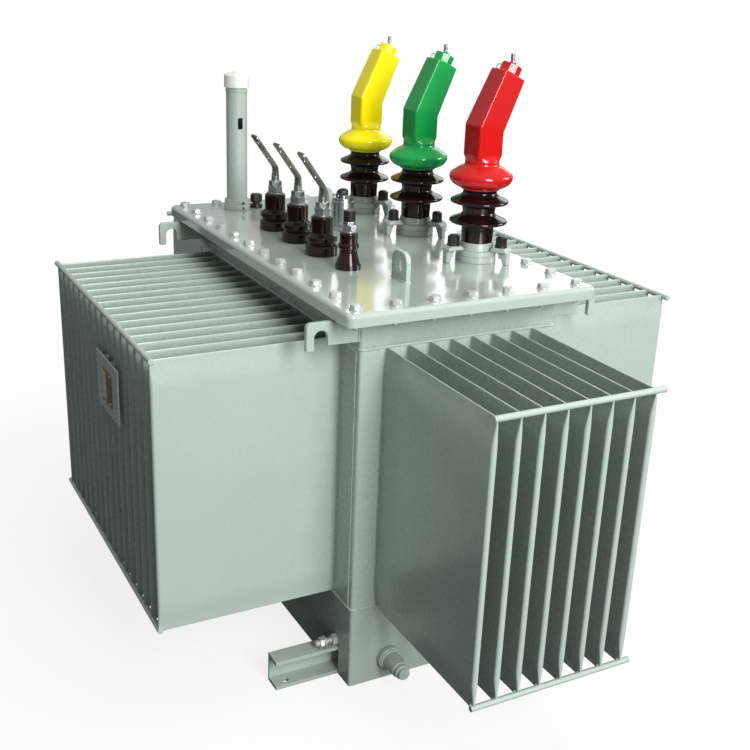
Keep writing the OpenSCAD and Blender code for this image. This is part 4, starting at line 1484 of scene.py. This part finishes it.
@dataclass
class LvBushing(SubAssembly):
    """A low-voltage bushing: porcelain, nuts and a rod that is flattened into a palm."""

    letter: str
    x: float
    y: float = -124
    height: float = 78
    edge_r: float = 3
    washer: Point = (18, 4)
    lower_nut: Point = (29.4, 14)
    upper_nut: Point = (24.2, 11)
    sleeve_r: float = 8.3
    sleeve_z: Point = (28, 41)
    bend: float = 58
    lean: float = 36
    rod_r: float = 8
    rod_foot: float = 20
    stations: tuple[tuple[float, float, float, float], ...] = (
        (-15, 8.6, 7.4, 0.1), (-8, 10, 6.2, 0.3), (-2, 12, 4.6, 0.5), (5, 14, 3.2, 0.8), (12, 15.2, 2.4, 1),
    )
    palm_length: float = 86
    palm_half: float = 16
    palm_t: float = 5
    palm_r: float = 7
    hole_r: float = 6.5
    holes_in: Point = (20, 60)

    def build(self) -> None:
        """Makes the porcelain, the nuts and the palm."""
        r = self.edge_r
        profile = [
            (0, 0), (33, 0), (33.5, 0.6), *arc(30.5, 17, r, 0, 66, 5),
            *eased([(31.5, 19.8), (27.5, 24), (27.5, 25.5), (30, 28)], 1.2)[1:-1],
            *arc(29.5, 30, r, -66, 0, 5), *arc(29.5, 36, r, 0, 64, 5),
            *eased([(30, 39), (22.5, 44), (22.5, 60)], 3)[1:],
            *arc(22.5 - r, self.height - r, r, 0, 90, 5), (0, self.height),
        ]
        shells = Shells()
        shells.lathe(profile, moved(self.x, self.y, COVER_TOP), 72)
        node = f"lv_insulator_{self.letter}"
        shells.piece(f"lv_porcelain_{self.letter}", self.finishes.glaze, Slot.PORCELAIN, node, sharp=60)
        foot = moved(self.x, self.y, COVER_TOP + self.height)
        self.nuts(foot)
        self.palm(foot)

    def nuts(self, foot: Matrix) -> None:
        """Makes the washer, two nuts and the sleeve on the rod.

        Args:
            foot: Place on the porcelain's top.
        """
        (washer_r, washer_t), (across, nut_h) = self.washer, self.lower_nut
        shells = Shells()
        shells.disc(washer_r, 0, washer_t, 0.8, foot)
        shells.nut(across, nut_h, foot @ moved(0, 0, washer_t), 11)
        shells.nut(*self.upper_nut, foot @ moved(0, 0, washer_t + nut_h), 40)
        shells.disc(self.sleeve_r, *self.sleeve_z, 0.5, foot, 40)
        shells.piece(f"lv_nuts_{self.letter}", self.finishes.metal, Slot.METAL, sharp=40)

    def section(self, half_w: float, half_t: float, square: float) -> list[Point]:
        """Gives a section between an oval and a flat bar.

        Args:
            half_w: Half the width.
            half_t: Half the thickness.
            square: 0 for an oval, 1 for a bar with crisp corners.

        Returns:
            The outline.
        """
        count, power = 40, 1 - 0.82 * square
        points: list[Point] = []
        for k in range(count):
            angle = 2 * math.pi * k / count
            c, s = math.cos(angle), math.sin(angle)
            across, through = math.copysign(abs(c) ** power, c), math.copysign(abs(s) ** power, s)
            points.append((half_w * across, half_t * through))
        return points

    def palm(self, foot: Matrix) -> None:
        """Makes the rod, which leans over and flattens into a palm with two holes.

        Args:
            foot: Place on the porcelain's top.
        """
        bend, leaning = Vector((0, 0, self.bend)), turned("X", self.lean)
        rod = [(along, self.rod_r, self.rod_r, 0) for along in (self.rod_foot - self.bend, -22)]
        rings: list[list[Vector]] = []
        for along, half_w, half_t, square in (*rod, *self.stations):
            tilt = turned("X", self.lean * swing(ramp(along, -16, 4)))
            step = Vector((0, 0, along))
            spine = bend + (step if along < 0 else leaning @ step)
            outline = self.section(half_w, half_t, square)
            rings.append([foot @ (spine + tilt @ Vector((x, y, 0))) for x, y in outline])
        shells = Shells()
        shells.rings(rings)
        half, end = self.palm_half, self.palm_length
        outline = eased([(-half, 2), (half, 2), (half, end), (-half, end)], self.palm_r, True, 5)
        holes = [round_hole(0, end - inset, self.hole_r) for inset in self.holes_in]
        place = foot @ moved(0, 0, self.bend) @ turned("X", 90 + self.lean)
        shells.plate(outline, self.palm_t, place, holes, 0.9)
        node = f"lv_terminal_{self.letter}"
        shells.piece(f"lv_palm_{self.letter}", self.finishes.palm, Slot.METAL, node, sharp=40)


@dataclass
class NeutralBushing(SubAssembly):
    """The small neutral bushing with its nuts and capped stud."""

    x: float = 197.5
    y: float = -124
    height: float = 71
    edge_r: float = 3
    washer: Point = (14.5, 4)
    lower_nut: Point = (24.2, 11)
    upper_nut: Point = (21.6, 7)
    stud: Point = (8, 18)
    stud_z: float = 21
    cap_r: float = 11.8
    cap_z: Point = (22, 43)

    def build(self) -> None:
        """Makes the porcelain, the nuts and the cap."""
        r = self.edge_r
        profile = [
            (0, 0), (25.5, 0), *arc(22.5, 7, r, 0, 66, 5),
            *eased([(23.7, 9.7), (17.5, 30), (17.5, 39), (19, 41)], 6)[1:-1],
            *arc(17.5, 42, r, -60, 0, 5), *arc(17.5, 46, r, 0, 62, 5),
            *eased([(18.9, 48.6), (17.5, 50), (17.5, 60)], 1)[1:],
            *arc(17.5 - r, self.height - r, r, 0, 90, 5), (0, self.height),
        ]
        shells = Shells()
        shells.lathe(profile, moved(self.x, self.y, COVER_TOP), 64)
        shells.piece("neutral_porcelain", self.finishes.glaze, Slot.PORCELAIN, "neutral_insulator", sharp=60)
        foot = moved(self.x, self.y, COVER_TOP + self.height)
        (washer_r, washer_t), (across, nut_h) = self.washer, self.lower_nut
        shells = Shells()
        shells.disc(washer_r, 0, washer_t, 0.8, foot)
        shells.nut(across, nut_h, foot @ moved(0, 0, washer_t), 20)
        shells.nut(*self.upper_nut, foot @ moved(0, 0, washer_t + nut_h), 47)
        shells.thread(*self.stud, foot @ moved(0, 0, self.stud_z), 2.0)
        shells.piece("neutral_nuts", self.finishes.metal, Slot.METAL, "neutral_terminal", sharp=40)
        cap = Shells()
        cap.disc(self.cap_r, *self.cap_z, 1.6, foot, crown=1)
        cap.piece("neutral_cap", self.finishes.black, Slot.BLACK, sharp=40)


@dataclass
class HvBushing(SubAssembly):
    """A high-voltage bushing: turret, clamps, porcelain with sheds and a coloured boot."""

    letter: str
    x: float
    slot: Slot
    y: float = 154
    turret_h: float = 39
    turret_profile: tuple[Point, ...] = (
        (0, 0), (41, 0), (41, 10.7), (39.5, 11), (39.5, 13),
        (41, 13.3), (41, 24), (35.5, 24), (33, 39), (0, 39),
    )
    clamp_angles: tuple[float, ...] = (-90, 30, 150)
    clamp_z: Point = (24, 34)
    clamp_reach: Point = (36.5, 74)
    arm_w: float = 30
    leg_w: float = 16
    screw_r: float = 55
    cap_profile: tuple[Point, ...] = ((0, 0), (13, 0), (13, 3), (11.5, 4), (0, 4))
    cap_tip: tuple[Point, ...] = ((0, 19), (9, 19), (7.5, 22.5), (0, 23))
    core_r: float = 32
    upper_core_r: float = 33.5
    porcelain_h: float = 106
    shed_r: float = 58
    shed_tip: float = 3.5
    shed_heights: Point = (40, 80)
    bell_r: float = 63
    bell_mouth: float = 38
    bell_equator: float = 25
    bell_half_h: float = 22
    brim_r: float = 9
    neck_r: float = 34
    neck_slip: float = 0.05
    neck_blend: float = 5
    neck_steps: tuple[float, ...] = (-1.8, -1, -0.6, -0.2, 0.2, 0.6, 1, 1.4, 2)
    duct_half: float = 28.5
    duct_end: float = 26
    duct_edge: float = 5
    duct_foot: float = 206
    upright: float = 58
    fold: float = 1.6
    lean: float = 24.5
    length: float = 112.5
    cap_r: float = 21
    cap_h: float = 18
    collar_r: float = 7
    collar_rise: float = 5
    stud: Point = (4.5, 16)
    wire: Point = (5.5, 0.9)

    def place(self, z: float = 0) -> Matrix:
        """Gives the bushing's axis at a height above the cover."""
        return moved(self.x, self.y, COVER_TOP + z)

    def leaning(self, along: float) -> Matrix:
        """Gives the leaning duct's axis at a distance past the bend."""
        bend = self.place(self.duct_foot + self.upright)
        return bend @ turned("X", -self.lean) @ moved(0, 0, along)

    def cap_top(self) -> Matrix:
        """Gives an upright place on the middle of the boot's cap."""
        return Matrix.Translation(self.leaning(self.length + self.cap_h).translation)

    def build(self) -> None:
        """Makes every piece of the bushing."""
        self.turret()
        self.clamps()
        self.porcelain()
        self.boot()

    def turret(self) -> None:
        """Makes the turned base."""
        shells = Shells()
        shells.lathe(eased(self.turret_profile, 1.0), self.place(), 72)
        node = f"hv_turret_{self.letter}"
        shells.piece(f"hv_base_{self.letter}", self.finishes.cast, Slot.PAINT, node, sharp=60)

    def clamps(self) -> None:
        """Makes the three clamps and their black caps."""
        (near, out), (low, top) = self.clamp_reach, self.clamp_z
        arm = [(near, low), (out, low), (out, top - 6), (out - 6, top), (near + 6, top), (near, low + 2.5)]
        leg = [(out - 9, 0), (out, 0), (out, low + 1), (out - 18, low + 1)]
        shells, spots = Shells(), []
        for angle in self.clamp_angles:
            place = self.place() @ turned("Z", angle) @ turned("X", 90)
            shells.plate(eased(arm, 1.5, True), self.arm_w, place, edge=2.2)
            shells.plate(eased(leg, 1.2, True), self.leg_w, place, edge=1.8)
            spots.append(self.place(top) @ turned("Z", angle) @ Vector((self.screw_r, 0, 0)))
        node = f"hv_clamps_{self.letter}"
        shells.piece(f"hv_claws_{self.letter}", self.finishes.cast, Slot.PAINT, node, sharp=50)
        cap = Shells()
        cap.lathe(eased(self.cap_profile, 0.8), sides=40)
        cap.nut(21, 17, moved(0, 0, 3))
        cap.lathe(eased(self.cap_tip, 1.5), sides=32)
        name, black, seed = f"hv_clamp_caps_{self.letter}", self.finishes.black, 11 + int(self.x)
        self.shop.strew(name, cap, spots, black, Slot.BLACK, Turn=1.05, Seed=seed)

    def porcelain(self) -> None:
        """Makes the insulator with its two sheds."""
        tip, rim = self.shed_tip, self.shed_r - self.shed_tip
        profile: list[Point] = [(0, 0), (self.core_r - 0.75, 0), (self.core_r, 20)]
        for z, r in zip(self.shed_heights, (self.core_r, self.upper_core_r)):
            under = [(r, z - 14), (r, z - 9), (r + tip + 2, z - 4), (rim, z - tip / 2)]
            over = [(rim, z + tip * 1.4), (r + tip, z + 14), (r, z + 19), (r, z + 22)]
            profile += eased(under, 4)[1:-1] + arc(rim, z + tip / 2, tip, -80, 62, 7) + eased(over, 5)[1:-1]
        profile += [(self.upper_core_r, self.porcelain_h), (0, self.porcelain_h)]
        shells = Shells()
        shells.lathe(profile, self.place(self.turret_h), 96)
        node = f"hv_insulator_{self.letter}"
        shells.piece(f"hv_porcelain_{self.letter}", self.finishes.glaze, Slot.PORCELAIN, node, sharp=60)

    def bell(self) -> list[Point]:
        """Gives the bell's profile: a bowl below, a brim and a slope up to the neck.

        Returns:
            Radius and height of each step.
        """
        wide, low, high = self.bell_r - self.neck_r, self.bell_equator, self.bell_half_h
        top = self.duct_foot - self.turret_h - self.porcelain_h - self.neck_blend
        profile: list[Point] = [(0, 0), (self.bell_mouth, 0)]
        profile += [(self.neck_r + wide * c, low + high * s) for c, s in arc(0, 0, 1, -80, -4, 14)]
        profile += arc(self.bell_r - self.brim_r, low, self.brim_r, 0, 52, 10)
        shoulder = [(self.neck_r + 12, low + high - 5), (self.neck_r, low + high + 1), (self.neck_r, top)]
        return profile + eased([profile[-1], *shoulder], 14, steps=6)[1:] + [(0, top)]

    def duct_section(self) -> list[Point]:
        """Gives the duct's outline: a square with eased corners and a few points on each side.

        Returns:
            The outline, anticlockwise.
        """
        corners = rounded_rectangle(self.duct_half, self.duct_half, self.duct_edge, 6)
        result: list[Point] = []
        for i, spot in enumerate(corners):
            after = corners[(i + 1) % len(corners)]
            result.append(spot)
            if math.dist(spot, after) > self.duct_half:
                (x, y), (dx, dy) = spot, (after[0] - spot[0], after[1] - spot[1])
                result += [(x + dx * k / 5, y + dy * k / 5) for k in range(1, 5)]
        return result

    def duct_rings(self) -> list[list[Vector]]:
        """Gives the rings of the duct from the round neck, past the mitred bend, to its end.

        Returns:
            The rings, from the foot up.
        """
        section = self.duct_section()
        foot, bend = self.duct_foot, self.duct_foot + self.upright
        rings: list[list[Vector]] = []
        for step in self.neck_steps:
            share, z = swing(ramp(step, -1, 1.4)), foot + step * self.neck_blend
            round_r = (1 - share) * (self.neck_r - self.neck_slip)
            scales = [share + round_r / math.hypot(x, y) for x, y in section]
            rings.append([Vector((x * scale, y * scale, z)) for (x, y), scale in zip(section, scales)])
        mitre = math.tan(math.radians(self.lean / 2))
        for before in (self.fold, 0.0):
            rings.append([Vector((x, y, bend - y * mitre - before)) for x, y in section])
        start, tilt = Vector((0, 0, bend)), turned("X", -self.lean)
        rings.append([start + tilt @ Vector((x, y, y * mitre + self.fold)) for x, y in section])
        end, half = self.length, self.duct_end
        straight = self.duct_half * mitre + self.duct_edge
        mouth = ((end - 3, half), (end - 1, half - 0.7), (end, half - 2.6))
        for along, wide in ((straight, self.duct_half), *mouth):
            share = wide / self.duct_half
            rings.append([start + tilt @ Vector((x * share, y * share, along)) for x, y in section])
        return rings

    def boot(self) -> None:
        """Makes the bell, duct and cap of the boot as one moulding."""
        shells = Shells()
        shells.lathe(self.bell(), self.place(self.turret_h + self.porcelain_h), 72)
        shells.rings(self.duct_rings(), self.place())
        octagon = eased(arc(0, 0, self.cap_r, 0, 315, 7), 2, True)
        shells.plate(octagon, self.cap_h + 2, self.leaning(self.length + self.cap_h / 2 - 1), edge=1.6)
        shells.disc(self.collar_r, -8, self.collar_rise, 1.2, self.cap_top(), 32)
        tint = self.finishes.boot(self.slot)
        shells.piece(f"hv_cover_boot_{self.letter}", tint, self.slot, f"hv_boot_{self.letter}", sharp=50)

    def add_stud(self, shells: Shells) -> None:
        """Adds the upright threaded stud on the cap, and a wire ring beside it.

        Args:
            shells: The shells that the studs of all boots share.
        """
        shells.thread(*self.stud, self.cap_top() @ moved(0, 0, self.collar_rise))
        beside = self.leaning(self.length + 4) @ moved(-8, -21.5, 0)
        shells.torus(*self.wire, beside @ turned("X", 90) @ turned("Y", 25))


@dataclass
class BootStuds(SubAssembly):
    """The studs at the ends of all boots."""

    bushings: Sequence[HvBushing]

    def build(self) -> None:
        """Makes the studs as one piece."""
        shells = Shells()
        for bushing in self.bushings:
            bushing.add_stud(shells)
        shells.piece("boot_studs", self.finishes.metal, Slot.METAL, "hv_studs", sharp=40)


@dataclass
class FillerPipe(SubAssembly):
    """The filler pipe with its oil gauge and cap."""

    x: float = -392
    y: float = -126
    height: float = 282
    r: float = 24
    collar_r: float = 31
    socket_r: float = 29.5
    bead_r: float = 25.5
    gauge_z: float = 202
    gauge_half: Point = (6, 13)
    gauge_deep: float = 2.2
    gauge_lap: float = 0.2
    screw_out: float = 29.3
    screw_turn: float = 0.15
    screw_heights: Point = (17.5, 6)
    cap_r: float = 28
    sharp: float = 45

    def place(self) -> Matrix:
        """Gives the pipe's foot on the cover."""
        return moved(self.x, self.y, COVER_TOP)

    def window(self, deep: float) -> Matrix:
        """Gives the gauge's plane at a depth below the pipe's front."""
        return self.place() @ moved(self.r - deep, 0, self.gauge_z) @ turned("Z", 90) @ turned("X", 90)

    def build(self) -> None:
        """Makes the pipe, its gauge, screws and cap."""
        self.tube()
        pane = rounded_rectangle(*(half + self.gauge_lap for half in self.gauge_half), 2, 4)
        glass = Shells()
        glass.plate(pane, 2, self.window(self.gauge_deep), edge=0.3)
        glass.piece("oil_gauge", self.finishes.glass, Slot.BLACK, flats=False)
        self.screws()
        self.cap()

    def tube(self) -> None:
        """Makes the pipe with its collar and the recess of the gauge."""
        r, top = self.r, self.height
        profile = [
            (0, 0), (self.collar_r, 0), (self.collar_r, 10), (self.socket_r, 10.3), (self.socket_r, 24),
            (r, 24), (r, top - 9), (self.bead_r, top - 9), (self.bead_r, top - 5), (r, top - 5),
            (r, top), (0, top),
        ]
        shells, cut = Shells(), Shells()
        shells.lathe(eased(profile, 1.1), self.place(), 72)
        pipe = shells.mesh_object("filler_tube", self.sharp)
        cut.plate(rounded_rectangle(*self.gauge_half, 2, 4), 6, self.window(0), edge=0.3)
        cutter = cut.mesh_object("gauge_cut")
        pipe.modifiers.new("recess", "BOOLEAN").object = cutter
        settle(pipe)
        bpy.data.objects.remove(cutter)
        shade(pipe.data, self.sharp)
        weigh_normals(pipe)
        dress(pipe, self.finishes.cast, Slot.PAINT, "filler_pipe")

    def screws(self) -> None:
        """Makes the two screws in the collar."""
        screw = Shells()
        profile = [(0, -1), (3.2, -1), (3.2, 1.6), (1.5, 2.4), (0, 2.4)]
        screw.lathe(eased(profile, 0.5), turned("Y", 90), 20)
        x, y = self.screw_out * math.cos(self.screw_turn), self.screw_out * math.sin(self.screw_turn)
        spots = [self.place() @ Vector((x, y, z)) for z in self.screw_heights]
        self.shop.strew("collar_screws", screw, spots, self.finishes.black, Slot.BLACK)

    def cap(self) -> None:
        """Makes the screw cap with its domed crown."""
        top = self.height
        crown = eased([(26, top + 29), (8, top + 34), (0, top + 34)], 8)[1:]
        side = [(0, top), (self.cap_r, top), *arc(self.cap_r - 3, top + 26, 3, 0, 60, 5)]
        cap = Shells()
        cap.lathe(side + crown, self.place(), 72)
        cap.piece("filler_screw_cap", self.finishes.white, Slot.WHITE, "filler_cap", sharp=self.sharp)


@dataclass
class ReliefValve(SubAssembly):
    """The pressure relief valve with its pull ring."""

    x: float = -115
    y: float = 18
    base_nut: Point = (52, 12)
    profile: tuple[Point, ...] = (
        (0, 11), (24, 11), (24, 14), (26, 14), (26, 64), (24, 64.4), (24, 72), (8, 72), (8, 76), (0, 76),
    )
    pull: Point = (9, 2.2)
    pull_at: Place = (-3, -9, 79)
    knob_r: float = 5
    knob_z: Point = (74, 80)

    def build(self) -> None:
        """Makes the valve and its ring."""
        place = moved(self.x, self.y, COVER_TOP)
        shells = Shells()
        shells.nut(*self.base_nut, place)
        shells.lathe(eased(self.profile, 1.4), place, 72)
        shells.piece("relief_body", self.finishes.metal, Slot.METAL, "relief_valve", sharp=45)
        ring = Shells()
        ring.torus(*self.pull, place @ moved(*self.pull_at) @ turned("X", 70) @ turned("Z", 20))
        ring.disc(self.knob_r, *self.knob_z, 1.2, place, 24, crown=1)
        ring.piece("relief_pull_ring", self.finishes.black, Slot.BLACK, flats=False)


@dataclass
class TapChanger(SubAssembly):
    """The knob of the tap changer."""

    x: float = -392
    y: float = -77
    seat: tuple[Point, ...] = ((0, 0), (15, 0), (15, 8), (9, 8), (9, 14), (0, 14))
    knob: tuple[Point, ...] = ((11.5, 13), (13.4, 14.2), (14, 17), (14, 28), (13.2, 31), (11, 33))
    flutes: int = 9
    flute_share: float = 0.035
    sides: int = 72

    def build(self) -> None:
        """Makes the seat and a fluted knob."""
        place = moved(self.x, self.y, COVER_TOP)
        shells = Shells()
        shells.lathe(eased(self.seat, 1.0), place, 48)
        outline: list[Point] = []
        for k in range(self.sides):
            angle = 2 * math.pi * k / self.sides
            out = 1 + self.flute_share * math.cos(self.flutes * angle)
            outline.append((out * math.cos(angle), out * math.sin(angle)))
        rings = [[Vector((r * x, r * y, z)) for x, y in outline] for r, z in self.knob]
        shells.rings(rings, place)
        shells.piece("tap_knob", self.finishes.black, Slot.BLACK, "tap_changer", sharp=50)


@dataclass
class DrainValve(SubAssembly):
    """The drain valve low on the front wall."""

    y: float = -124
    z: float = 48
    profile: tuple[Point, ...] = (
        (0, 0), (25, 0), (25, 12), (22, 12.3), (22, 16), (19, 16.4), (17, 52),
        (15, 52.4), (15, 62), (12, 62.3), (12, 70), (0, 70),
    )
    hexagon: Point = (33, 12)
    hexagon_out: float = 26

    def build(self) -> None:
        """Makes the turned body with its hexagon."""
        place = moved(TANK_HALF_L, self.y, self.z) @ turned("Y", 90)
        shells = Shells()
        shells.lathe(eased(self.profile, 1.3), place, 64)
        shells.nut(*self.hexagon, place @ moved(0, 0, self.hexagon_out), 15)
        shells.piece("drain_cock", self.finishes.paint, Slot.PAINT, "drain_valve", sharp=45)


@dataclass
class Nameplate(SubAssembly):
    """The bare nameplate with its rivets."""

    x: float = 90
    y: float = -576.3
    z: float = 573
    half_w: float = 32
    half_h: float = 35
    thick: float = 1.5
    border_rise: float = 0.5
    panel_t: float = 0.8
    rivet_in: float = 7
    rivet: tuple[Point, ...] = ((0, -0.4), (3, -0.4), (2.8, 0.6), (2, 1.4), (0, 1.8))

    def outline(self, inset: float, r: float) -> list[Point]:
        """Gives the plate's outline at an inset."""
        return rounded_rectangle(self.half_w - inset, self.half_h - inset, r, 6)

    def build(self) -> None:
        """Makes the plate, its raised border, a pale panel and four rivets."""
        place = moved(self.x, self.y - self.thick / 2, self.z) @ turned("X", 90)
        shells = Shells()
        shells.plate(self.outline(0, 4), self.thick, place, edge=0.35)
        inside = list(reversed(self.outline(3.2, 2.2)))
        shells.plate(self.outline(2, 3), self.thick + self.border_rise, place, [inside], 0.2)
        shells.piece("type_plate", self.finishes.plate, Slot.PLATE, "nameplate", sharp=40)
        panel = Shells()
        across, up = self.half_w * 0.4, self.half_h * 0.8
        beside = place @ moved(-across - 1.5, 0, self.thick / 2)
        panel.plate(rounded_rectangle(across, up, 2, 4), self.panel_t, beside, edge=0.2)
        panel.piece("plate_panel", self.finishes.pale, Slot.PLATE, flats=False)
        rivet = Shells()
        rivet.lathe(self.rivet, turned("X", 90), 20)
        x, z, face = self.half_w - self.rivet_in, self.half_h - self.rivet_in, self.y - self.thick
        spots = [Vector((self.x + sx * x, face, self.z + sz * z)) for sx in (-1, 1) for sz in (-1, 1)]
        self.shop.strew("plate_rivets", rivet, spots, self.finishes.metal, Slot.METAL)


@dataclass
class EarthStud(SubAssembly):
    """The earthing stud low on the left wall."""

    x: float = 365
    z: float = 76
    boss: Point = (21.6, 12)
    stud: Point = (7.5, 46)
    washer_r: float = 13
    washer_z: Point = (26.5, 29)
    nut: Point = (19.9, 10)

    def build(self) -> None:
        """Makes the boss, the threaded stud, its washer and nut."""
        place = moved(self.x, -TANK_HALF_W, self.z) @ turned("X", 90)
        shells = Shells()
        shells.nut(*self.boss, place, 10)
        shells.thread(*self.stud, place)
        shells.disc(self.washer_r, *self.washer_z, 0.6, place, 32)
        shells.nut(*self.nut, place @ moved(0, 0, self.washer_z[1]), 24)
        shells.piece("earthing_stud", self.finishes.dull, Slot.METAL, "earth_stud", sharp=40)


@dataclass(frozen=True)
class Lamp:
    """A soft lamp that looks at a point; sizes in metres, power in watts."""

    name: str
    place: Place
    aim: Place
    size: float
    power: float
    spread: float = 180
    mirrored: bool = True
    tall: float | None = None

    def build(self) -> None:
        """Adds the lamp to the scene."""
        light = bpy.data.lights.new(self.name, "AREA")
        light.shape = "RECTANGLE"
        light.size = self.size
        light.size_y = self.tall or self.size
        light.energy = self.power
        light.spread = math.radians(self.spread)
        obj = bpy.data.objects.new(self.name, light)
        obj.visible_glossy = self.mirrored
        obj.location = self.place
        obj.rotation_euler = (Vector(self.aim) - Vector(self.place)).to_track_quat("-Z", "Y").to_euler()
        bpy.context.scene.collection.objects.link(obj)


LAMPS = (
    Lamp("key", (4.2, 0.05, 2.4), (0.2, 0.0, 0.6), 1.4, 226, tall=3.0),
    Lamp("top", (0.2, 0.3, 3.6), (0.0, 0.0, 0.7), 2.6, 54, mirrored=False),
    Lamp("right", (1.2, 3.4, 2.2), (0.0, 0.1, 1.0), 1.2, 8, 60),
    Lamp("left", (-3.2, -3.0, 1.4), (0.0, 0.0, 0.7), 1.0, 42, mirrored=False),
    Lamp("graze", (3.8, -1.7, 1.0), (0.0, -0.5, 0.45), 0.7, 10, mirrored=False),
    Lamp("back", (-3.1, 2.65, 2.6), (0.0, 0.0, 0.8), 2.4, 28),
)


@dataclass
class Studio:
    """The floor, the light and the camera; lengths in metres."""

    lamps: tuple[Lamp, ...] = LAMPS
    floor_half: float = 9.0
    floor_tone: str = "f4f5f5"
    floor_rough: float = 0.9
    bounce_tone: str = "484b4b"
    glow: float = 0.82
    glow_reach: Point = (0.8, 1.9)
    ambient: float = 0.05
    sheen: float = 0.4
    camera_place: Place = (2.02333, -1.05175, 1.33043)
    camera_aim: Place = (0.21229, -0.06254, 0.56782)
    camera_roll: float = 2.317
    camera_lens: float = 52.017
    camera_near: float = 0.05

    def build(self) -> None:
        """Makes the studio."""
        bpy.context.scene.view_settings.view_transform = "Standard"
        self.floor()
        self.sky()
        for lamp in self.lamps:
            lamp.build()
        self.camera()

    def floor(self) -> None:
        """Makes a pale floor that turns plain white far from the object."""
        half = self.floor_half
        mesh = bpy.data.meshes.new("studio_floor")
        corners = [(-half, -half, 0), (half, -half, 0), (half, half, 0), (-half, half, 0)]
        mesh.from_pydata(corners, [], [(0, 1, 2, 3)])
        floor = link("studio_floor", mesh)
        finish = Finish("pale_floor")
        wires = finish.wires
        seen = wires.add("ShaderNodeLightPath").outputs["Is Camera Ray"]
        tone = wires.blend(seen, colour(self.bounce_tone), colour(self.floor_tone))
        finish.set(Base_Color=tone, Roughness=self.floor_rough)
        place = wires.add("ShaderNodeTexCoord").outputs["Object"]
        away = wires.add("ShaderNodeVectorMath", {0: place}, operation="LENGTH").outputs["Value"]
        share = wires.reckon("MULTIPLY", wires.spread(away, *self.glow_reach, self.glow, 1.0), seen)
        white = wires.add("ShaderNodeEmission", {"Color": WHITE, "Strength": 1.0}).outputs[0]
        mixed = wires.add("ShaderNodeMixShader", {0: share, 1: finish.shader.outputs[0], 2: white}).outputs[0]
        wires.feed(wires.tree.nodes["Material Output"].inputs["Surface"], mixed)
        mesh.materials.append(finish.material)

    def sky(self) -> None:
        """Makes a white surround that lights the object softly."""
        world = bpy.data.worlds.new("studio")
        bpy.context.scene.world = world
        world.use_nodes = True
        wires = Wiring(world.node_tree)
        rays = wires.add("ShaderNodeLightPath").outputs
        mirrored = wires.spread(rays["Is Glossy Ray"], 0, 1, self.ambient, self.sheen)
        seen = wires.reckon("MAXIMUM", rays["Is Camera Ray"], rays["Is Transmission Ray"])
        back = world.node_tree.nodes["Background"]
        wires.feed(back.inputs["Color"], WHITE)
        wires.feed(back.inputs["Strength"], wires.reckon("MAXIMUM", seen, mirrored))

    def camera(self) -> None:
        """Sets the camera where the photograph was taken from."""
        data = bpy.data.cameras.new("camera")
        data.lens = self.camera_lens
        data.clip_start = self.camera_near
        camera = bpy.data.objects.new("camera", data)
        place, aim = Vector(self.camera_place), Vector(self.camera_aim)
        level = (aim - place).to_track_quat("-Z", "Y")
        camera.rotation_mode = "QUATERNION"
        camera.rotation_quaternion = level @ Quaternion((0, 0, 1), math.radians(self.camera_roll))
        camera.location = place
        bpy.context.scene.collection.objects.link(camera)
        bpy.context.scene.camera = camera


def main() -> None:
    """Builds the object piece by piece and the studio round it."""
    logging.basicConfig(level=logging.INFO, format="%(message)s")
    shop = Workshop()
    banks = [
        FinBank(shop, "left", 16, TANK_HALF_W, 0, -1),
        FinBank(shop, "right", 16, TANK_HALF_W, 180, -1),
        FinBank(shop, "front", 8, TANK_HALF_L, 90, 1),
        FinBank(shop, "rear", 8, TANK_HALF_L, -90, 1),
    ]
    low_voltage = [LvBushing(shop, letter, x) for letter, x in (("a", -165.5), ("b", -44.5), ("c", 76.5))]
    high_voltage = [
        HvBushing(shop, "a", -278, Slot.YELLOW),
        HvBushing(shop, "b", -28, Slot.GREEN),
        HvBushing(shop, "c", 222, Slot.RED),
    ]
    fittings = (FillerPipe, ReliefValve, TapChanger, DrainValve, Nameplate, EarthStud)
    parts: list[SubAssembly] = [Tank(shop), *banks, Cover(shop), *low_voltage, NeutralBushing(shop)]
    parts += [*high_voltage, BootStuds(shop, high_voltage), *(fitting(shop) for fitting in fittings)]
    for part in parts:
        part.build()
    Studio().build()


if __name__ == "__main__":
    main()
